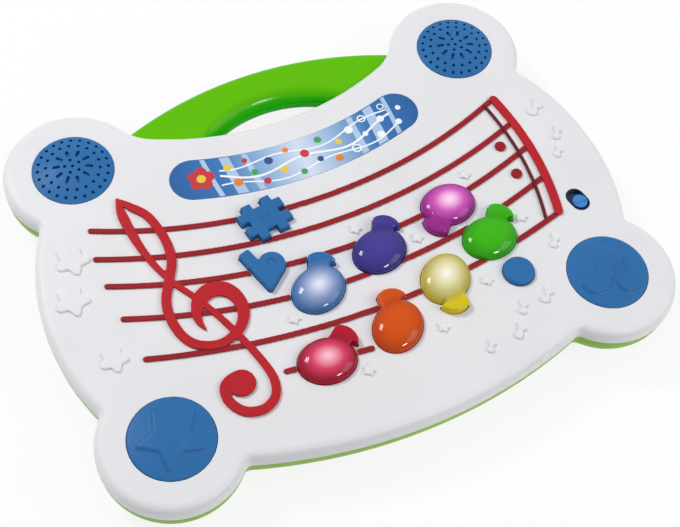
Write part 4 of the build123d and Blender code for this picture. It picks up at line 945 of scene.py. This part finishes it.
# Screws with a cross recess, their heads facing down
screw_tree, size = sized_tree("screw", "Head Radius", "Head Height", "Shaft Radius", "Shaft Length")
drop = reckon(screw_tree, "MULTIPLY", size["Head Height"], -1.0)
cone = add(screw_tree, "GeometryNodeMeshCone", {
    "Vertices": 28, "Radius Top": size["Head Radius"], "Depth": size["Head Height"],
    "Radius Bottom": reckon(screw_tree, "MULTIPLY", size["Head Radius"], 0.82)}).outputs["Mesh"]
head = shifted(screw_tree, cone, drop)
long = reckon(screw_tree, "MULTIPLY", size["Head Radius"], 1.15)
narrow = reckon(screw_tree, "MULTIPLY", size["Head Radius"], 0.26)
arms = []
for wide, deep in ((long, narrow), (narrow, long)):
    block = add(screw_tree, "ShaderNodeCombineXYZ", {"X": wide, "Y": deep, "Z": size["Head Height"]}).outputs[0]
    arm = add(screw_tree, "GeometryNodeMeshCube", {"Size": block}).outputs["Mesh"]
    arms.append(shifted(screw_tree, arm, drop))
cut = cut_away(screw_tree, head, *arms)
shaft = cylinder(screw_tree, 16, size["Shaft Radius"], size["Shaft Length"])
raised = shifted(screw_tree, shaft, reckon(screw_tree, "MULTIPLY", size["Shaft Length"], 0.5))
whole = add(screw_tree, "GeometryNodeJoinGeometry", {"Geometry": [cut, raised]}).outputs[0]
set_out(screw_tree, size["Places"], whole, zinc_steel, 2 * pi)

# Screws of the shell and of the battery door, by places in millimetres
shell_screws = [(62, 80), (137, 58), (152, 0), (88, -104)]
shell_seat = 8.0 * mm
shell_places = [(side * x * mm, y * mm, shell_seat) for x, y in shell_screws for side in (-1, 1)]
shell_places.append((0, -112 * mm, shell_seat))
screws = grown("shell_screws_cross", screw_tree, shell_places, {
    "Head Radius": 3.1 * mm, "Head Height": 2.2 * mm, "Shaft Radius": 1.3 * mm, "Shaft Length": 18 * mm}, zinc_steel)
stand_for(screws, "board", "zinc_screw", "shell_screws")
door_seat = 3.1 * mm
door_places = [(x * mm, bay_y * mm, door_seat) for x in (-21.15, 41.15)]
screws = grown("battery_door_screws_cross", screw_tree, door_places, {
    "Head Radius": 2.6 * mm, "Head Height": 1.1 * mm, "Shaft Radius": 1.25 * mm,
    "Shaft Length": 9.1 * mm}, zinc_steel)
stand_for(screws, "battery_cover", "zinc_screw", "battery_door_screws")

# Rubber feet with a ring groove
foot_tree, size = sized_tree("foot", "Radius", "Height", "Groove Outer", "Groove Inner", "Groove Depth")
pad = cylinder(foot_tree, 64, size["Radius"], size["Height"])
pad = shifted(foot_tree, pad, reckon(foot_tree, "MULTIPLY", size["Height"], 0.5))
rings = []
for reach, deep in ((size["Groove Outer"], 2.0), (size["Groove Inner"], 3.0)):
    rings.append(cylinder(foot_tree, 64, reach, reckon(foot_tree, "MULTIPLY", size["Groove Depth"], deep)))
grooved = cut_away(foot_tree, pad, cut_away(foot_tree, *rings))
set_out(foot_tree, size["Places"], grooved, rubber, 0.0)
foot_places = [(side * x * mm, y * mm, 0) for x, y in (back_lobe, front_lobe) for side in (-1, 1)]
feet = grown("rubber_feet_grooved", foot_tree, foot_places, {
    "Radius": 8.5 * mm, "Height": 2.8 * mm, "Groove Outer": 6.6 * mm, "Groove Inner": 4.2 * mm,
    "Groove Depth": 0.6 * mm}, rubber)
stand_for(feet, "board", "foot_rubber", "rubber_feet")

# Finger ribs on the battery door, side by side across its middle
rib_count = 6
rib_step = 3.4
rib_sink = 0.25 * mm
rib_tree, size = sized_tree("rib", "Radius", "Length")
bar = cylinder(rib_tree, 20, size["Radius"], size["Length"])
lying = add(rib_tree, "GeometryNodeTransform", {"Geometry": bar, "Rotation": (pi / 2, 0, 0)}).outputs[0]
set_out(rib_tree, size["Places"], lying, green_abs, 0.0)
rib_rows = [bay_x + rib_step * (k - (rib_count - 1) / 2) for k in range(rib_count)]
rib_places = [(x * mm, bay_y * mm, shell_bottom + rib_sink) for x in rib_rows]
ribs = grown("battery_door_ribs", rib_tree, rib_places, {"Radius": 0.75 * mm, "Length": 16 * mm}, green_abs)
stand_for(ribs, "battery_cover", "green_shell")

# Battery contacts: a flat plate at each end of a cell, a coiled spring at its flat end and a stud at its tip
spring_tree, size = sized_tree("spring", "Wire Radius", "Wide Radius", "Narrow Radius", "Height", "Facing")
coil = add(spring_tree, "GeometryNodeCurveSpiral", {
    "Resolution": 24, "Rotations": 2.5, "Start Radius": size["Wide Radius"], "End Radius": size["Narrow Radius"],
    "Height": size["Height"]}).outputs["Curve"]
section = add(spring_tree, "GeometryNodeCurvePrimitiveCircle", {
    "Resolution": 8, "Radius": size["Wire Radius"]}).outputs["Curve"]
wire = add(spring_tree, "GeometryNodeCurveToMesh", {
    "Curve": coil, "Profile Curve": section, "Fill Caps": True}).outputs["Mesh"]
facing = add(spring_tree, "ShaderNodeCombineXYZ", {"Y": size["Facing"]}).outputs[0]
turned = add(spring_tree, "GeometryNodeTransform", {"Geometry": wire, "Rotation": facing}).outputs[0]
set_out(spring_tree, size["Places"], turned, nickel_steel, 0.0)
contacts = bmesh.new()
cell_middle = 11.6 * mm
cell_rows = (-39.8, -25.0, -10.2)
plate_x = 27.1 * mm
plate_size = (0.5 * mm, 10 * mm, 10 * mm, 1)
stud_r = 2.4 * mm
stud_h = 1.6 * mm
stud_x = plate_x - 1.05 * mm
spring_x = plate_x - 0.55 * mm
for i, y in enumerate(cell_rows):
    way = 1 if i % 2 else -1
    for side in (-1, 1):
        at = Matrix.Translation((bay_x * mm + side * plate_x, y * mm, cell_middle))
        bmesh.ops.create_cube(contacts, size=1.0, matrix=at @ Matrix.Diagonal(plate_size))
    at = Matrix.Translation((bay_x * mm + way * stud_x, y * mm, cell_middle))
    bmesh.ops.create_cone(contacts, cap_ends=True, segments=24, radius1=stud_r, radius2=stud_r, depth=stud_h,
                          matrix=at @ Matrix.Rotation(pi / 2, 4, "Y"))
    spring = grown(f"spring_{i}", spring_tree, [(bay_x * mm - way * spring_x, y * mm, cell_middle)], {
        "Wire Radius": 0.3 * mm, "Wide Radius": 4.2 * mm, "Narrow Radius": 2.0 * mm, "Height": 1.0 * mm,
        "Facing": way * pi / 2}, nickel_steel)
    contacts.from_mesh(spring.data)
    bpy.data.objects.remove(spring)
stand_for(new_piece("battery_contacts_sprung", contacts, nickel_steel), "board", "contact_metal", "battery_contacts")

# Floor of the stage
ground = bmesh.new()
bmesh.ops.create_grid(ground, x_segments=1, y_segments=1, size=4.0)
new_piece("floor", ground, floor_paper())
